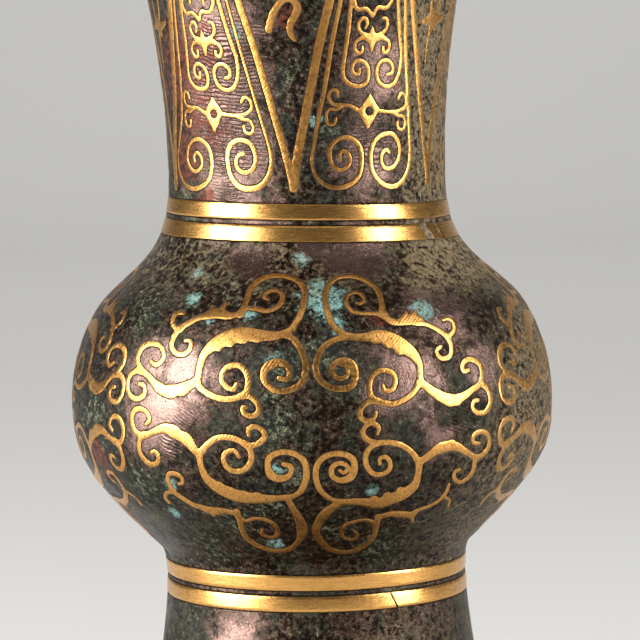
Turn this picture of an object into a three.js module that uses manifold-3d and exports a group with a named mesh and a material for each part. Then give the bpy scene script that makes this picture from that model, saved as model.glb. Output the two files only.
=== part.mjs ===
// Gold-inlaid bronze gu: a tall vase with a trumpet mouth, a round belly and a spreading foot.
// Foot, belly and neck are three castings that spigot into each other under the gold bands, and
// the floor is a disc held between foot and belly. The gold is laid in strips and fine lines.
// Millimetres, +Z up, the foot stands on z = 0, the front faces -Y.

import * as THREE from "three";
import { mergeVertices } from "three/addons/utils/BufferGeometryUtils.js";
import Module from "manifold-3d";

const wasm = await Module();
wasm.setup();

// Castings: lengths follow each other from the ground up, radii are of the outer skin
const HEIGHT = 220;
const FOOT_RADIUS = 43.5;
const FOOT_BAND_HEIGHT = 8;
const FOOT_STEP = 1.2;
const FOOT_LENGTH = 50.3;
const WAIST_RADIUS = 24.9;
const WAIST_LENGTH = 5;
const WAIST_SPREAD = 1;
const BELLY_RADIUS = 40;
const BELLY_LOWER_LENGTH = 24.2;
const BELLY_UPPER_LENGTH = 17.5;
const SHOULDER_DRAW_IN = 6.4;
const SHOULDER_LENGTH = 20;
const NECK_RADIUS = 22.9;
const MOUTH_RADIUS = 61;
const LIP_HEIGHT = 2.4;
const WALL = 2.6;
const FOOT_RIM_WALL = 4;

// Joints of the castings, and the floor disc on its ledge in the foot
const SPIGOT_LENGTH = 3.5;
const SPIGOT_WALL = 1.4;
const FLOOR_THICKNESS = 2.2;
const LEDGE_HEIGHT = 2.4;
const LEDGE_WIDTH = 3;
const FIT = 0.3;

// Broad gold strips lie in channels, fine gold lines lie on the skin
const STRIP_DEPTH = 0.6;
const STRIP_PROUD = 0.05;
const CHANNEL_GAP = 0.16;
const CHANNEL_OPEN = 0.5;
const LINE_OVER_SKIN = 0.22;
const LINE_THICKNESS = 0.3;
const RING_WIDTH = 2.5;
const RING_PITCH = 3.4;
const RING_DEPTH = 0.9;
const NECK_RINGS_BELOW_NECK = 7.45;
const FOOT_RINGS_BELOW_WAIST = 0.25;
const BUTT_GAP = 0.35;

// Places of the ring joints, in degrees from the front toward +X
const TURN = 360;
const NECK_RING_JOINT = 196;
const PATCH_JOINTS = [48, 62];
const FOOT_RING_UPPER_JOINT = 214;
const FOOT_RING_LOWER_JOINT = 30;

// Neck: six upright blades, the two in front laid out a little wider than the rest
const BLADE_COUNT = 6;
const WIDE_BLADE = 64.2;
const WIDE_BLADES = 2;
const FIRST_BLADE_EDGE = -69.6;
const BLADE_FOOT_ABOVE_RING = 3.2;
const BLADE_TIP_BELOW_MOUTH = 26;
const BLADE_EDGE_WIDTH = 1.05;
const BLADE_TIP_SPLIT = 2.4;
const APEX_CUT = 1.3;
const DRAWN_BLADE_HEIGHT = 70;

// Belly: four scrolling motifs, the front one laid out a little wider than a quarter
const MOTIF_COUNT = 4;
const WIDE_MOTIF = 96;
const DRAWN_BELLY_ABOVE = 31;
const DRAWN_BELLY_BELOW = 29.5;
const DRAWN_MOTIF_WIDTH = 67;

// Facets: turns of the castings, and steps along each curve and each drawn line
const SKIN_SEGMENTS = 36;
const HOLLOW_SEGMENTS = 24;
const SKIN_STEPS = { foot: 4, waist: 2, lowerBelly: 5, upperBelly: 3, shoulder: 4, trumpet: 7 };
const HOLLOW_STEPS = { foot: 3, lowerBelly: 4, upperBelly: 2, shoulder: 3, trumpet: 8 };
const LINE_STEPS = { stem: 12, leaf: 6, tail: 9 };
const MERGE_DISTANCE = 0.0003;
const LEAST_MITRE = 0.5;

const bronze = new THREE.MeshStandardMaterial({ color: 0x37281f, roughness: 0.42, metalness: 0.85 });
const floorBronze = new THREE.MeshStandardMaterial({ color: 0x3a3026, roughness: 0.6, metalness: 0.8 });
const gold = new THREE.MeshStandardMaterial({ color: 0xc8913c, roughness: 0.32, metalness: 1 });

// Outline of the casting

const waistZ = FOOT_BAND_HEIGHT + FOOT_LENGTH;
const bellyFootZ = waistZ + WAIST_LENGTH;
const bellyZ = bellyFootZ + BELLY_LOWER_LENGTH;
const shoulderZ = bellyZ + BELLY_UPPER_LENGTH;
const neckZ = shoulderZ + SHOULDER_LENGTH;
const mouthZ = HEIGHT;

// Directions at the ends of its curves, and the length of their handles as shares of the chord
const UP = [0, 1];
const OUT_AND_UP = [1, 1];
const IN_AND_UP = [-1.05, 1];
const FOOT_SWEEP = [-1.4, 1];
const MOUTH_SWEEP = [1.45, 1];
const FOOT_HANDLES = [0.34, 0.08];
const WAIST_HANDLES = [0.21, 0.25];
const LOWER_BELLY_HANDLES = [0.58, 0.35];
const UPPER_BELLY_HANDLES = [0.33, 0.27];
const SHOULDER_HANDLES = [0.42, 0.54];
const TRUMPET_HANDLES = [0.18, 0.41];

/** A curve between two outline points that leaves and arrives along given directions. */
function sweep(from, leave, to, arrive, [leaveShare, arriveShare]) {
  const start = new THREE.Vector2(...from);
  const end = new THREE.Vector2(...to);
  const chord = start.distanceTo(end);
  const first = new THREE.Vector2(...leave).setLength(chord * leaveShare).add(start);
  const second = new THREE.Vector2(...arrive).setLength(-chord * arriveShare).add(end);
  return new THREE.CubicBezierCurve(start, first, second, end);
}

const footTop = [FOOT_RADIUS - FOOT_STEP, FOOT_BAND_HEIGHT];
const waist = [WAIST_RADIUS, waistZ];
const bellyFoot = [WAIST_RADIUS + WAIST_SPREAD, bellyFootZ];
const bellyWide = [BELLY_RADIUS, bellyZ];
const shoulder = [BELLY_RADIUS - SHOULDER_DRAW_IN, shoulderZ];
const neck = [NECK_RADIUS, neckZ];
const mouth = [MOUTH_RADIUS, mouthZ - LIP_HEIGHT];

const footCurve = sweep(footTop, FOOT_SWEEP, waist, UP, FOOT_HANDLES);
const waistCurve = sweep(waist, UP, bellyFoot, OUT_AND_UP, WAIST_HANDLES);
const lowerBellyCurve = sweep(bellyFoot, OUT_AND_UP, bellyWide, UP, LOWER_BELLY_HANDLES);
const upperBellyCurve = sweep(bellyWide, UP, shoulder, IN_AND_UP, UPPER_BELLY_HANDLES);
const shoulderCurve = sweep(shoulder, IN_AND_UP, neck, UP, SHOULDER_HANDLES);
const trumpetCurve = sweep(neck, UP, mouth, MOUTH_SWEEP, TRUMPET_HANDLES);

/** The points of several curves in a row, each corner once. */
function chain(curvesAndSteps) {
  const points = [];
  for (const [curve, steps] of curvesAndSteps) {
    points.push(...curve.getPoints(steps).slice(points.length > 0 ? 1 : 0));
  }
  return points;
}

const outline = chain([
  [footCurve, SKIN_STEPS.foot], [waistCurve, SKIN_STEPS.waist],
  [lowerBellyCurve, SKIN_STEPS.lowerBelly], [upperBellyCurve, SKIN_STEPS.upperBelly],
  [shoulderCurve, SKIN_STEPS.shoulder], [trumpetCurve, SKIN_STEPS.trumpet],
]);

// Places on the skin

/** Radius and outward normal of the outline at a height. */
function outlineAt(z) {
  const last = outline.length - 2;
  let span = 0;
  while (span < last && outline[span + 1].y < z) {
    span += 1;
  }
  const low = outline[span];
  const high = outline[span + 1];
  const run = high.clone().sub(low);
  const radius = low.x + (run.x * (z - low.y)) / run.y;
  return { radius, normal: new THREE.Vector2(run.y, -run.x).normalize() };
}

/** The height that lies a given length along the outline above (or below) the widest belly. */
function heightAlongBelly(length) {
  const side = Math.sign(length) || 1;
  let left = Math.abs(length);
  let index = outline.findIndex((point) => point.y >= bellyZ - MERGE_DISTANCE);
  while (index + side > 0 && index + side < outline.length - 1) {
    const step = outline[index].distanceTo(outline[index + side]);
    if (step >= left) {
      return THREE.MathUtils.lerp(outline[index].y, outline[index + side].y, left / step);
    }
    left -= step;
    index += side;
  }
  return outline[index].y;
}

const facet = (2 * Math.PI) / SKIN_SEGMENTS;

/** A place on the faceted skin: the angle runs in degrees from the front toward +X. */
function skinAt(degrees, z) {
  const angle = THREE.MathUtils.degToRad(degrees);
  const { radius, normal } = outlineAt(z);
  const pastCorner = THREE.MathUtils.euclideanModulo(angle, facet);
  const flat = (radius * Math.cos(facet / 2)) / Math.cos(pastCorner - facet / 2);
  const outward = new THREE.Vector3(Math.sin(angle), -Math.cos(angle), 0);
  return {
    point: outward.clone().multiplyScalar(flat).setZ(z),
    normal: outward.clone().multiplyScalar(normal.x).setZ(normal.y),
  };
}

// Solids

/** A closed solid from three.js geometry, with its shared corners merged. */
function solidOf(geometry) {
  const bare = geometry.clone();
  bare.deleteAttribute("normal");
  bare.deleteAttribute("uv");
  const merged = mergeVertices(bare, MERGE_DISTANCE);
  return new wasm.Manifold(new wasm.Mesh({
    numProp: 3,
    vertProperties: new Float32Array(merged.attributes.position.array),
    triVerts: new Uint32Array(merged.index.array),
  }));
}

function geometryOf(solid) {
  const mesh = solid.getMesh();
  const geometry = new THREE.BufferGeometry();
  geometry.setAttribute("position", new THREE.BufferAttribute(mesh.vertProperties, 3));
  geometry.setIndex(new THREE.BufferAttribute(mesh.triVerts, 1));
  geometry.computeVertexNormals();
  return geometry;
}

/** A profile of [radius, height] points turned about the Z axis. */
function turned(profile, segments) {
  const points = profile.map((point) => (point.isVector2 ? point : new THREE.Vector2(...point)));
  const lathe = new THREE.LatheGeometry(points, segments);
  lathe.rotateX(Math.PI / 2);
  return solidOf(lathe);
}

/** Directions along a route at one station, and how much a mitred corner widens there. */
function heading(route, index, closed) {
  const count = route.length;
  const here = route[index];
  const before = route[closed ? (index - 1 + count) % count : Math.max(index - 1, 0)];
  const after = route[closed ? (index + 1) % count : Math.min(index + 1, count - 1)];
  const arrive = here.point.clone().sub(before.point).normalize();
  const leave = after.point.clone().sub(here.point).normalize();
  const along = arrive.clone().add(leave).normalize();
  const turn = Math.max(along.dot(before === here ? leave : arrive), LEAST_MITRE);
  const side = new THREE.Vector3().crossVectors(along, here.normal).normalize();
  return { side, mitre: 1 / turn };
}

/** A strip laid along a route. Its section lists [across, height] at each station. */
function laidStrip(route, sectionAt, closed = false) {
  const rows = route.map((station, index) => {
    const { side, mitre } = heading(route, index, closed);
    return sectionAt(station).map(([across, height]) => station.point.clone()
      .addScaledVector(side, across * mitre)
      .addScaledVector(station.normal, height));
  });
  const size = rows[0].length;
  const faces = [];
  const spans = closed ? rows.length : rows.length - 1;
  for (let row = 0; row < spans; row += 1) {
    const next = (row + 1) % rows.length;
    for (let corner = 0; corner < size; corner += 1) {
      const other = (corner + 1) % size;
      const [a, b] = [row * size + corner, row * size + other];
      const [c, d] = [next * size + corner, next * size + other];
      faces.push(a, b, c, b, d, c);
    }
  }
  if (!closed) {
    const end = (rows.length - 1) * size;
    for (let corner = 1; corner < size - 1; corner += 1) {
      faces.push(0, corner + 1, corner);
      faces.push(end, end + corner, end + corner + 1);
    }
  }
  const geometry = new THREE.BufferGeometry().setFromPoints(rows.flat());
  geometry.setIndex(faces);
  return solidOf(geometry);
}

/** Section of a strip in a channel: a flat top over a keel. */
function stripSection(depth) {
  return ({ width }) => [[-width / 2, STRIP_PROUD], [width / 2, STRIP_PROUD], [0, -depth]];
}

/** Half width and keel of the channel round a strip: the strip's own keel moved out by the gap. */
function channelSize(width, depth) {
  const slope = width / 2 / (depth + STRIP_PROUD);
  const low = depth + CHANNEL_GAP * Math.hypot(1, 1 / slope);
  return { low, half: slope * low, slope };
}

/** Section of a channel's cutter, carried up past the skin. */
function channelSection({ width }) {
  const { low, slope } = channelSize(width, STRIP_DEPTH);
  const top = slope * (low + CHANNEL_OPEN);
  return [[-top, CHANNEL_OPEN], [top, CHANNEL_OPEN], [0, -low]];
}

/** Section of a fine line: a flat top over a low keel, clear of the skin. */
function lineSection({ width }) {
  const top = LINE_OVER_SKIN + LINE_THICKNESS;
  return [[-width / 2, top], [width / 2, top], [0, LINE_OVER_SKIN]];
}

const channels = [];
const goldwork = new THREE.Group();

function addGold(name, pieces) {
  const mesh = new THREE.Mesh(geometryOf(wasm.Manifold.union(pieces)), gold);
  mesh.name = name;
  goldwork.add(mesh);
}

// Rings

const neckRingsZ = neckZ - NECK_RINGS_BELOW_NECK;
const footRingsZ = waistZ - FOOT_RINGS_BELOW_WAIST;
const upperNeckRingZ = neckRingsZ + RING_PITCH / 2;
const lowerNeckRingZ = neckRingsZ - RING_PITCH / 2;
const upperFootRingZ = footRingsZ + RING_PITCH / 2;
const lowerFootRingZ = footRingsZ - RING_PITCH / 2;

/** The three corners of a ring's channel: lower edge, keel and upper edge. */
function ringChannel(z) {
  const { low, half } = channelSize(RING_WIDTH, RING_DEPTH);
  const { radius, normal } = outlineAt(z);
  const [bottom, top] = [-half, half].map((reach) => z + reach * normal.x);
  const keel = new THREE.Vector2(radius, z).addScaledVector(normal, -low);
  return {
    bottom: new THREE.Vector2(outlineAt(bottom).radius, bottom),
    keel,
    top: new THREE.Vector2(outlineAt(top).radius, top),
  };
}

const ringChannels = [lowerFootRingZ, upperFootRingZ, lowerNeckRingZ, upperNeckRingZ].map(ringChannel);
const channelledOutline = ringChannels.reduce((points, { bottom, keel, top }) => [
  ...points.filter((point) => point.y < bottom.y), bottom, keel, top,
  ...points.filter((point) => point.y > top.y),
], outline);

/** Stations of a ring between two joints, one at each corner of the faceted skin. */
function ringRoute(z, from, to) {
  const corner = THREE.MathUtils.radToDeg(facet);
  const angles = [from];
  for (let k = Math.floor(from / corner) + 1; k * corner < to; k += 1) {
    angles.push(k * corner);
  }
  angles.push(to);
  return angles.map((degrees) => ({ ...skinAt(degrees, z), width: RING_WIDTH }));
}

/** A ring laid as strips that butt at the given joints. */
function inlayRing(names, z, joints) {
  const gap = THREE.MathUtils.radToDeg(BUTT_GAP / 2 / outlineAt(z).radius);
  names.forEach((name, index) => {
    const to = joints[index + 1] ?? joints[0] + TURN;
    const route = ringRoute(z, joints[index] + gap, to - gap);
    addGold(name, [laidStrip(route, stripSection(RING_DEPTH))]);
  });
}

inlayRing(["neck_ring_upper"], upperNeckRingZ, [NECK_RING_JOINT]);
inlayRing(["neck_ring_patch", "neck_ring_lower"], lowerNeckRingZ, PATCH_JOINTS);
inlayRing(["foot_ring_upper"], upperFootRingZ, [FOOT_RING_UPPER_JOINT]);
inlayRing(["foot_ring_lower"], lowerFootRingZ, [FOOT_RING_LOWER_JOINT]);

// Drawn lines

/** A smooth line through drawn [x, y, width] points, taken in a number of steps. */
function smooth(points, steps) {
  const curve = new THREE.CatmullRomCurve3(
    points.map(([x, y, width]) => new THREE.Vector3(x, y, width)), false, "centripetal");
  return curve.getPoints(steps).map(({ x, y, z }) => [x, y, z]);
}

/** A scroll that winds in round a centre. Turns are positive anticlockwise. */
function scroll([x, y], { start, turns, reach: [outer, inner], widths: [wide, thin], steps }) {
  return Array.from({ length: steps + 1 }, (_, step) => {
    const share = step / steps;
    const angle = THREE.MathUtils.degToRad(start) + turns * share * 2 * Math.PI;
    const reach = THREE.MathUtils.lerp(outer, inner, share);
    const width = THREE.MathUtils.lerp(wide, thin, share);
    return [x + reach * Math.cos(angle), y + reach * Math.sin(angle), width];
  });
}

// Neck blades

const bladeFootZ = upperNeckRingZ + RING_WIDTH / 2 + BLADE_FOOT_ABOVE_RING;
const bladeTipZ = mouthZ - BLADE_TIP_BELOW_MOUTH;
const narrowBlade = (TURN - WIDE_BLADES * WIDE_BLADE) / (BLADE_COUNT - WIDE_BLADES);
const drawnToNeck = (bladeTipZ - bladeFootZ) / DRAWN_BLADE_HEIGHT;

/** A drawn point of a blade: degrees from its middle at full width, and height over its foot. */
function onBlade(blade, [across, up, width]) {
  const z = bladeFootZ + up * drawnToNeck;
  return { ...skinAt(blade.middle + (across * blade.pitch) / WIDE_BLADE, z), width };
}

const blades = [];
for (let k = 0, edge = FIRST_BLADE_EDGE; k < BLADE_COUNT; k += 1) {
  const pitch = k < WIDE_BLADES ? WIDE_BLADE : narrowBlade;
  blades.push({ middle: edge + pitch / 2, pitch });
  edge += pitch;
}

// Each V runs down one blade's edge, turns in a cut apex and climbs the next blade's edge

const EDGE_HOLLOW = 0.08;
const APEX_CLEARANCE = 4;
const TIP_CLEARANCE = 1;

/** Drawn points of a blade's edge, from foot to tip, with one at each bend of the outline. */
function bladeEdge() {
  const bends = outline.map((point) => point.y)
    .filter((z) => z > bladeFootZ + APEX_CLEARANCE && z < bladeTipZ - TIP_CLEARANCE);
  const tipHalf = THREE.MathUtils.radToDeg(BLADE_TIP_SPLIT / 2 / outlineAt(bladeTipZ).radius);
  return [bladeFootZ, ...bends, bladeTipZ].map((z) => {
    const share = (z - bladeFootZ) / (bladeTipZ - bladeFootZ);
    const narrowing = 1 - share - EDGE_HOLLOW * Math.sin(Math.PI * share);
    const across = Math.max((WIDE_BLADE / 2) * narrowing, 0) + tipHalf * share;
    return [across, share * DRAWN_BLADE_HEIGHT, BLADE_EDGE_WIDTH];
  });
}

blades.forEach((blade, k) => {
  const next = blades[(k + 1) % BLADE_COUNT];
  const edge = bladeEdge();
  const down = edge.slice().reverse().map((point) => onBlade(blade, point));
  const climb = edge.map(([x, y, width]) => onBlade(next, [-x, y, width]));
  const cut = THREE.MathUtils.radToDeg(APEX_CUT / 2 / NECK_RADIUS);
  const apexAt = blade.middle + blade.pitch / 2;
  const apex = [-cut, cut].map((turn) => (
    { ...skinAt(apexAt + turn, bladeFootZ), width: BLADE_EDGE_WIDTH }));
  const route = [...down.slice(0, -1), ...apex, ...climb.slice(1)];
  addGold(`neck_chevron_${k + 1}`, [laidStrip(route, stripSection(STRIP_DEPTH))]);
  channels.push(laidStrip(route, channelSection));
});

// Inside each blade a line climbs from a scroll in one corner to the tip and down to the other

const BLADE_LINE = [[2.6, 57, 0.75], [9.6, 40, 0.75], [13.4, 29, 0.75], [18.8, 16.4, 0.65], [22.6, 8, 0.6]];
const BLADE_SCROLL = {
  centre: [13.2, 4.1], start: 20, turns: -1.65, reach: [10.2, 2], widths: [0.7, 0.55], steps: 10,
};
const DEGREES_TO_MM = 0.4;

/** Half of a blade's line: down from the tip and into the scroll of one corner. */
function bladeHalf(side) {
  const [across, up] = BLADE_SCROLL.centre;
  const round = scroll([0, 0], BLADE_SCROLL)
    .map(([x, y, width]) => [across + x, up + y * DEGREES_TO_MM, width]);
  return [...BLADE_LINE, ...round].map(([x, y, width]) => [side * x, y, width]);
}

blades.forEach((blade, k) => {
  const points = [...bladeHalf(-1).reverse(), ...bladeHalf(1)];
  const route = points.map((point) => onBlade(blade, point));
  addGold(`neck_blade_line_${k + 1}`, [laidStrip(route, lineSection)]);
});

// A lozenge with a round eye and two arms in each blade

const LOZENGE_UP = 11.6;
const LOZENGE_TALL = 5.2;
const LOZENGE_WIDE = 4.1;
const LOZENGE_BAND = 1.2;
const ARM_REACH = 15.5;
const ARM_WIDTH = 0.55;

blades.forEach((blade, k) => {
  const half = THREE.MathUtils.radToDeg((LOZENGE_WIDE - LOZENGE_BAND) / 2 / NECK_RADIUS);
  const tall = (LOZENGE_TALL - LOZENGE_BAND) / 2;
  const corners = [[half, 0], [0, tall], [-half, 0], [0, -tall]];
  const ring = corners.map(([x, y]) => onBlade(blade, [x, LOZENGE_UP + y, LOZENGE_BAND]));
  const arms = [-1, 1].map((side) => [half, (half + ARM_REACH) / 2, ARM_REACH]
    .map((x) => onBlade(blade, [side * x, LOZENGE_UP, ARM_WIDTH])));
  const armStrips = arms.map((arm) => laidStrip(arm, lineSection));
  addGold(`neck_lozenge_${k + 1}`, [laidStrip(ring, lineSection, true), ...armStrips]);
});

// Belly scrolls: a drawn quarter, x outward from the motif's middle and y away from the widest belly

/** Length of the outline between the widest belly and a height. */
function bellyArc(z) {
  const [low, high] = [Math.min(z, bellyZ), Math.max(z, bellyZ)];
  const inside = outline.filter((point) => point.y > low && point.y < high);
  const ends = [low, high].map((height) => new THREE.Vector2(outlineAt(height).radius, height));
  const path = [ends[0], ...inside, ends[1]];
  return path.slice(1).reduce((sum, point, index) => sum + point.distanceTo(path[index]), 0);
}

const bellyAbove = bellyArc(lowerNeckRingZ - RING_WIDTH / 2);
const bellyBelow = bellyArc(upperFootRingZ + RING_WIDTH / 2);

/** A drawn point of a belly motif, on the skin. */
function onBelly({ middle, pitch }, side, half, [x, y, width]) {
  const scale = half > 0 ? bellyAbove / DRAWN_BELLY_ABOVE : bellyBelow / DRAWN_BELLY_BELOW;
  const z = heightAlongBelly(half * y * scale);
  return { ...skinAt(middle + (side * x * pitch) / DRAWN_MOTIF_WIDTH, z), width };
}

const UPPER = {
  stem: [
    [12.6, 18.9, 0.9], [12.8, 22.6, 1], [8, 26.2, 0.9], [2.4, 24.4, 0.9], [1.7, 19, 1], [4.2, 14.6, 1.2],
    [8.4, 14.1, 1.7], [12.6, 14.5, 2.5], [16.4, 12.8, 1.9], [19, 9.4, 1.1], [18.9, 6.2, 1.3],
    [16.2, 4, 0.9], [12.4, 3.8, 0.9],
  ],
  leaf: [
    [19, 6.4, 1.4], [24.6, 5, 1.6], [29.2, 6.7, 1.1], [31.6, 9.6, 1], [29.5, 11.7, 0.9], [27.2, 10, 0.8],
  ],
  tail: [
    [25, 18.2, 0.8], [26.8, 17, 0.9], [24.8, 14.6, 1], [21.1, 17.2, 1], [17.2, 18, 1.7], [12.6, 18.7, 1],
    [8, 18.2, 0.9], [5.4, 20.4, 0.9], [7.6, 23, 0.8], [9, 21, 0.7],
  ],
  root: [5, 14.4, 0.9],
  eye: [4.9, 7.9],
  bud: [12.4, 6.7],
};
const LOWER = {
  stem: [
    [14, 16.9, 0.9], [15.1, 21, 1], [11.4, 25.4, 0.9], [5.6, 25.4, 1], [2.3, 20.6, 1.7], [3.6, 14.6, 1.1],
    [7, 12.9, 1.4], [11.5, 12.9, 2.4], [15.6, 11.3, 2], [18.5, 8.6, 1.1], [18.5, 5, 1.2],
    [15.6, 2.5, 0.9], [11.8, 2.8, 0.9],
  ],
  leaf: [
    [18.7, 4.9, 1.2], [22.2, 2.1, 1.6], [26, 1.3, 1.1], [30.4, 2.4, 1], [32.4, 0.2, 0.9], [29.8, -1.5, 0.8],
  ],
  tail: [
    [24, 8.5, 0.8], [26.1, 9.4, 0.9], [25.4, 12, 1], [21.4, 15.2, 1.2], [17.6, 15.3, 1.5], [14, 17, 1],
    [9.3, 17.4, 0.9], [7.5, 20.4, 0.9], [9.6, 22.6, 0.8], [11, 20.8, 0.7],
  ],
  root: [4.6, 13.7, 0.9],
  eye: [4.9, 7.2],
  bud: [12.4, 5.2],
};

const BUD_SCROLL = { start: 245, turns: -0.95, reach: [2.7, 0.9], widths: [0.9, 0.7], steps: 5 };
const EYE_SCROLL = { start: 115, turns: 1.3, reach: [4.1, 0.9], widths: [1, 0.75], steps: 8 };

/** The routes of one quarter of a belly motif: stem with its bud, leaf, tail, and eye. */
function bellyQuarter({ stem, leaf, tail, root, eye, bud }) {
  return [
    [...smooth(stem, LINE_STEPS.stem), ...scroll(bud, BUD_SCROLL).slice(1)],
    smooth(leaf, LINE_STEPS.leaf),
    smooth(tail, LINE_STEPS.tail),
    [root, ...scroll(eye, EYE_SCROLL)],
  ];
}

const narrowMotif = (TURN - WIDE_MOTIF) / (MOTIF_COUNT - 1);
const motifs = Array.from({ length: MOTIF_COUNT }, (_, k) => (k === 0
  ? { middle: 0, pitch: WIDE_MOTIF }
  : { middle: WIDE_MOTIF / 2 + (k - 0.5) * narrowMotif, pitch: narrowMotif }));

motifs.forEach((motif, index) => {
  for (const [half, tier, drawing] of [[1, "upper", UPPER], [-1, "lower", LOWER]]) {
    for (const [side, hand] of [[-1, "left"], [1, "right"]]) {
      const routes = bellyQuarter(drawing)
        .map((route) => route.map((point) => onBelly(motif, side, half, point)));
      const pieces = routes.map((route) => laidStrip(route, lineSection));
      addGold(`belly_scroll_${index + 1}_${tier}_${hand}`, pieces);
    }
  }
});

// Castings: the joints lie at the keels of the upper foot ring's and the lower neck ring's channels

const footJoint = ringChannels[1].keel;
const neckJoint = ringChannels[2].keel;

/** Points of a curve of the outline, moved inward by the wall. */
function inset(curve, steps) {
  return Array.from({ length: steps + 1 }, (_, step) => {
    const tangent = curve.getTangent(step / steps);
    const inward = new THREE.Vector2(-tangent.y, tangent.x).setLength(WALL);
    return curve.getPoint(step / steps).add(inward);
  });
}

/** The channelled outline strictly between two heights. */
function outlineBetween(low, high) {
  return channelledOutline.filter((point) => point.y > low + FIT && point.y < high - FIT);
}

/** Bore, spigot and end of a joint: the upper casting's spigot runs down into the lower one's bore. */
function jointSizes(keel) {
  const bore = outlineAt(keel.y).radius - WALL;
  const outer = bore - FIT;
  return { bore, outer, inner: outer - SPIGOT_WALL, end: keel.y - SPIGOT_LENGTH };
}

const footSizes = jointSizes(footJoint);
const neckSizes = jointSizes(neckJoint);
const ledgeZ = footSizes.end - FIT - FLOOR_THICKNESS - FIT;
const rimInner = FOOT_RADIUS - FOOT_RIM_WALL;

const castings = new THREE.Group();

function addCasting(name, solid) {
  const mesh = new THREE.Mesh(geometryOf(solid), bronze);
  mesh.name = name;
  castings.add(mesh);
}

const footSkin = turned([
  [0, 0], [FOOT_RADIUS, 0], [FOOT_RADIUS, FOOT_BAND_HEIGHT], ...outlineBetween(0, footJoint.y),
  footJoint, [0, footJoint.y],
], SKIN_SEGMENTS);
const underLedge = ledgeZ - LEDGE_HEIGHT;
const footHollow = turned([
  [0, -WALL], [rimInner, -WALL], [rimInner, FOOT_BAND_HEIGHT - WALL],
  ...inset(footCurve, HOLLOW_STEPS.foot).filter((point) => point.y < underLedge - WALL),
  [outlineAt(underLedge).radius - WALL, underLedge], [0, underLedge],
], HOLLOW_SEGMENTS);
const ledgeBore = turned([
  [0, 0], [footSizes.bore - LEDGE_WIDTH, 0], [footSizes.bore - LEDGE_WIDTH, ledgeZ],
  [footSizes.bore, ledgeZ], [footSizes.bore, footJoint.y + WALL], [0, footJoint.y + WALL],
], HOLLOW_SEGMENTS);
addCasting("foot_casting", footSkin.subtract(footHollow).subtract(ledgeBore));

const bellySkin = turned([
  [0, footSizes.end], [footSizes.outer, footSizes.end], [footSizes.outer, footJoint.y + FIT],
  [footJoint.x, footJoint.y + FIT], ...outlineBetween(footJoint.y + FIT, neckJoint.y),
  neckJoint, [0, neckJoint.y],
], SKIN_SEGMENTS);
const bellyHollow = turned([
  [0, footSizes.end - WALL], [footSizes.inner, footSizes.end - WALL], [footSizes.inner, bellyFootZ],
  ...inset(lowerBellyCurve, HOLLOW_STEPS.lowerBelly),
  ...inset(upperBellyCurve, HOLLOW_STEPS.upperBelly).slice(1),
  ...inset(shoulderCurve, HOLLOW_STEPS.shoulder).slice(1).filter((point) => point.x > neckSizes.bore + FIT),
  [neckSizes.bore, neckSizes.end - FIT], [neckSizes.bore, neckJoint.y + WALL], [0, neckJoint.y + WALL],
], HOLLOW_SEGMENTS);
addCasting("belly_casting", bellySkin.subtract(bellyHollow));

const neckSkin = turned([
  [0, neckSizes.end], [neckSizes.outer, neckSizes.end], [neckSizes.outer, neckJoint.y + FIT],
  [neckJoint.x, neckJoint.y + FIT], ...outlineBetween(neckJoint.y + FIT, mouthZ),
  [MOUTH_RADIUS, mouthZ], [0, mouthZ],
], SKIN_SEGMENTS);
const lipInner = inset(trumpetCurve, 1)[1].x;
const neckHollow = turned([
  [0, neckSizes.end - WALL], [neckSizes.inner, neckSizes.end - WALL], [neckSizes.inner, upperNeckRingZ],
  ...inset(trumpetCurve, HOLLOW_STEPS.trumpet), [lipInner, mouthZ + WALL], [0, mouthZ + WALL],
], SKIN_SEGMENTS);
addCasting("neck_casting", wasm.Manifold.difference([neckSkin, neckHollow, ...channels]));

// Floor

const floorRadius = (footSizes.bore - FIT) * Math.cos(Math.PI / HOLLOW_SEGMENTS);
const floorPlate = new THREE.Mesh(geometryOf(turned([
  [0, 0], [floorRadius, 0], [floorRadius, FLOOR_THICKNESS], [0, FLOOR_THICKNESS],
], HOLLOW_SEGMENTS)), floorBronze);
floorPlate.name = "floor_plate";
floorPlate.position.z = ledgeZ + FIT;

const vase = new THREE.Group();
vase.add(castings, floorPlate, goldwork);

export default vase;
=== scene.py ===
"""Gold-inlaid bronze gu vase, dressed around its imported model.

The castings are turned from one outline. The gold is drawn flat, as strokes with a width at each
point, and is then laid on the skin. Lengths are millimetres until a mesh is made, and angles are
degrees from the front toward +X.
"""

import math

import bmesh
import bpy
import numpy as np
from bpy.props import FloatProperty, FloatVectorProperty, IntProperty, PointerProperty
from mathutils import Matrix, Vector


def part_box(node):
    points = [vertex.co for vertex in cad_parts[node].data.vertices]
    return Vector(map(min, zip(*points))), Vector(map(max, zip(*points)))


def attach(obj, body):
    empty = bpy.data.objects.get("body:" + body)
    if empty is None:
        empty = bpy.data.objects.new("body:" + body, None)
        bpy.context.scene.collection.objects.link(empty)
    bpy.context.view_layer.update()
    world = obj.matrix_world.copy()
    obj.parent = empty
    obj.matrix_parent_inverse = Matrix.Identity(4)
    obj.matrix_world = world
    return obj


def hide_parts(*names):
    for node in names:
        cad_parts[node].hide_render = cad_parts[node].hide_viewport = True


bl_info = {
    "name": "Gold-inlaid Bronze Gu",
    "version": (1, 0, 0),
    "blender": (4, 5, 0),
    "location": "View3D > Sidebar > Vase",
    "description": "Builds a gold-inlaid bronze gu vase and a plain stage for it",
    "category": "Add Mesh",
}

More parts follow.
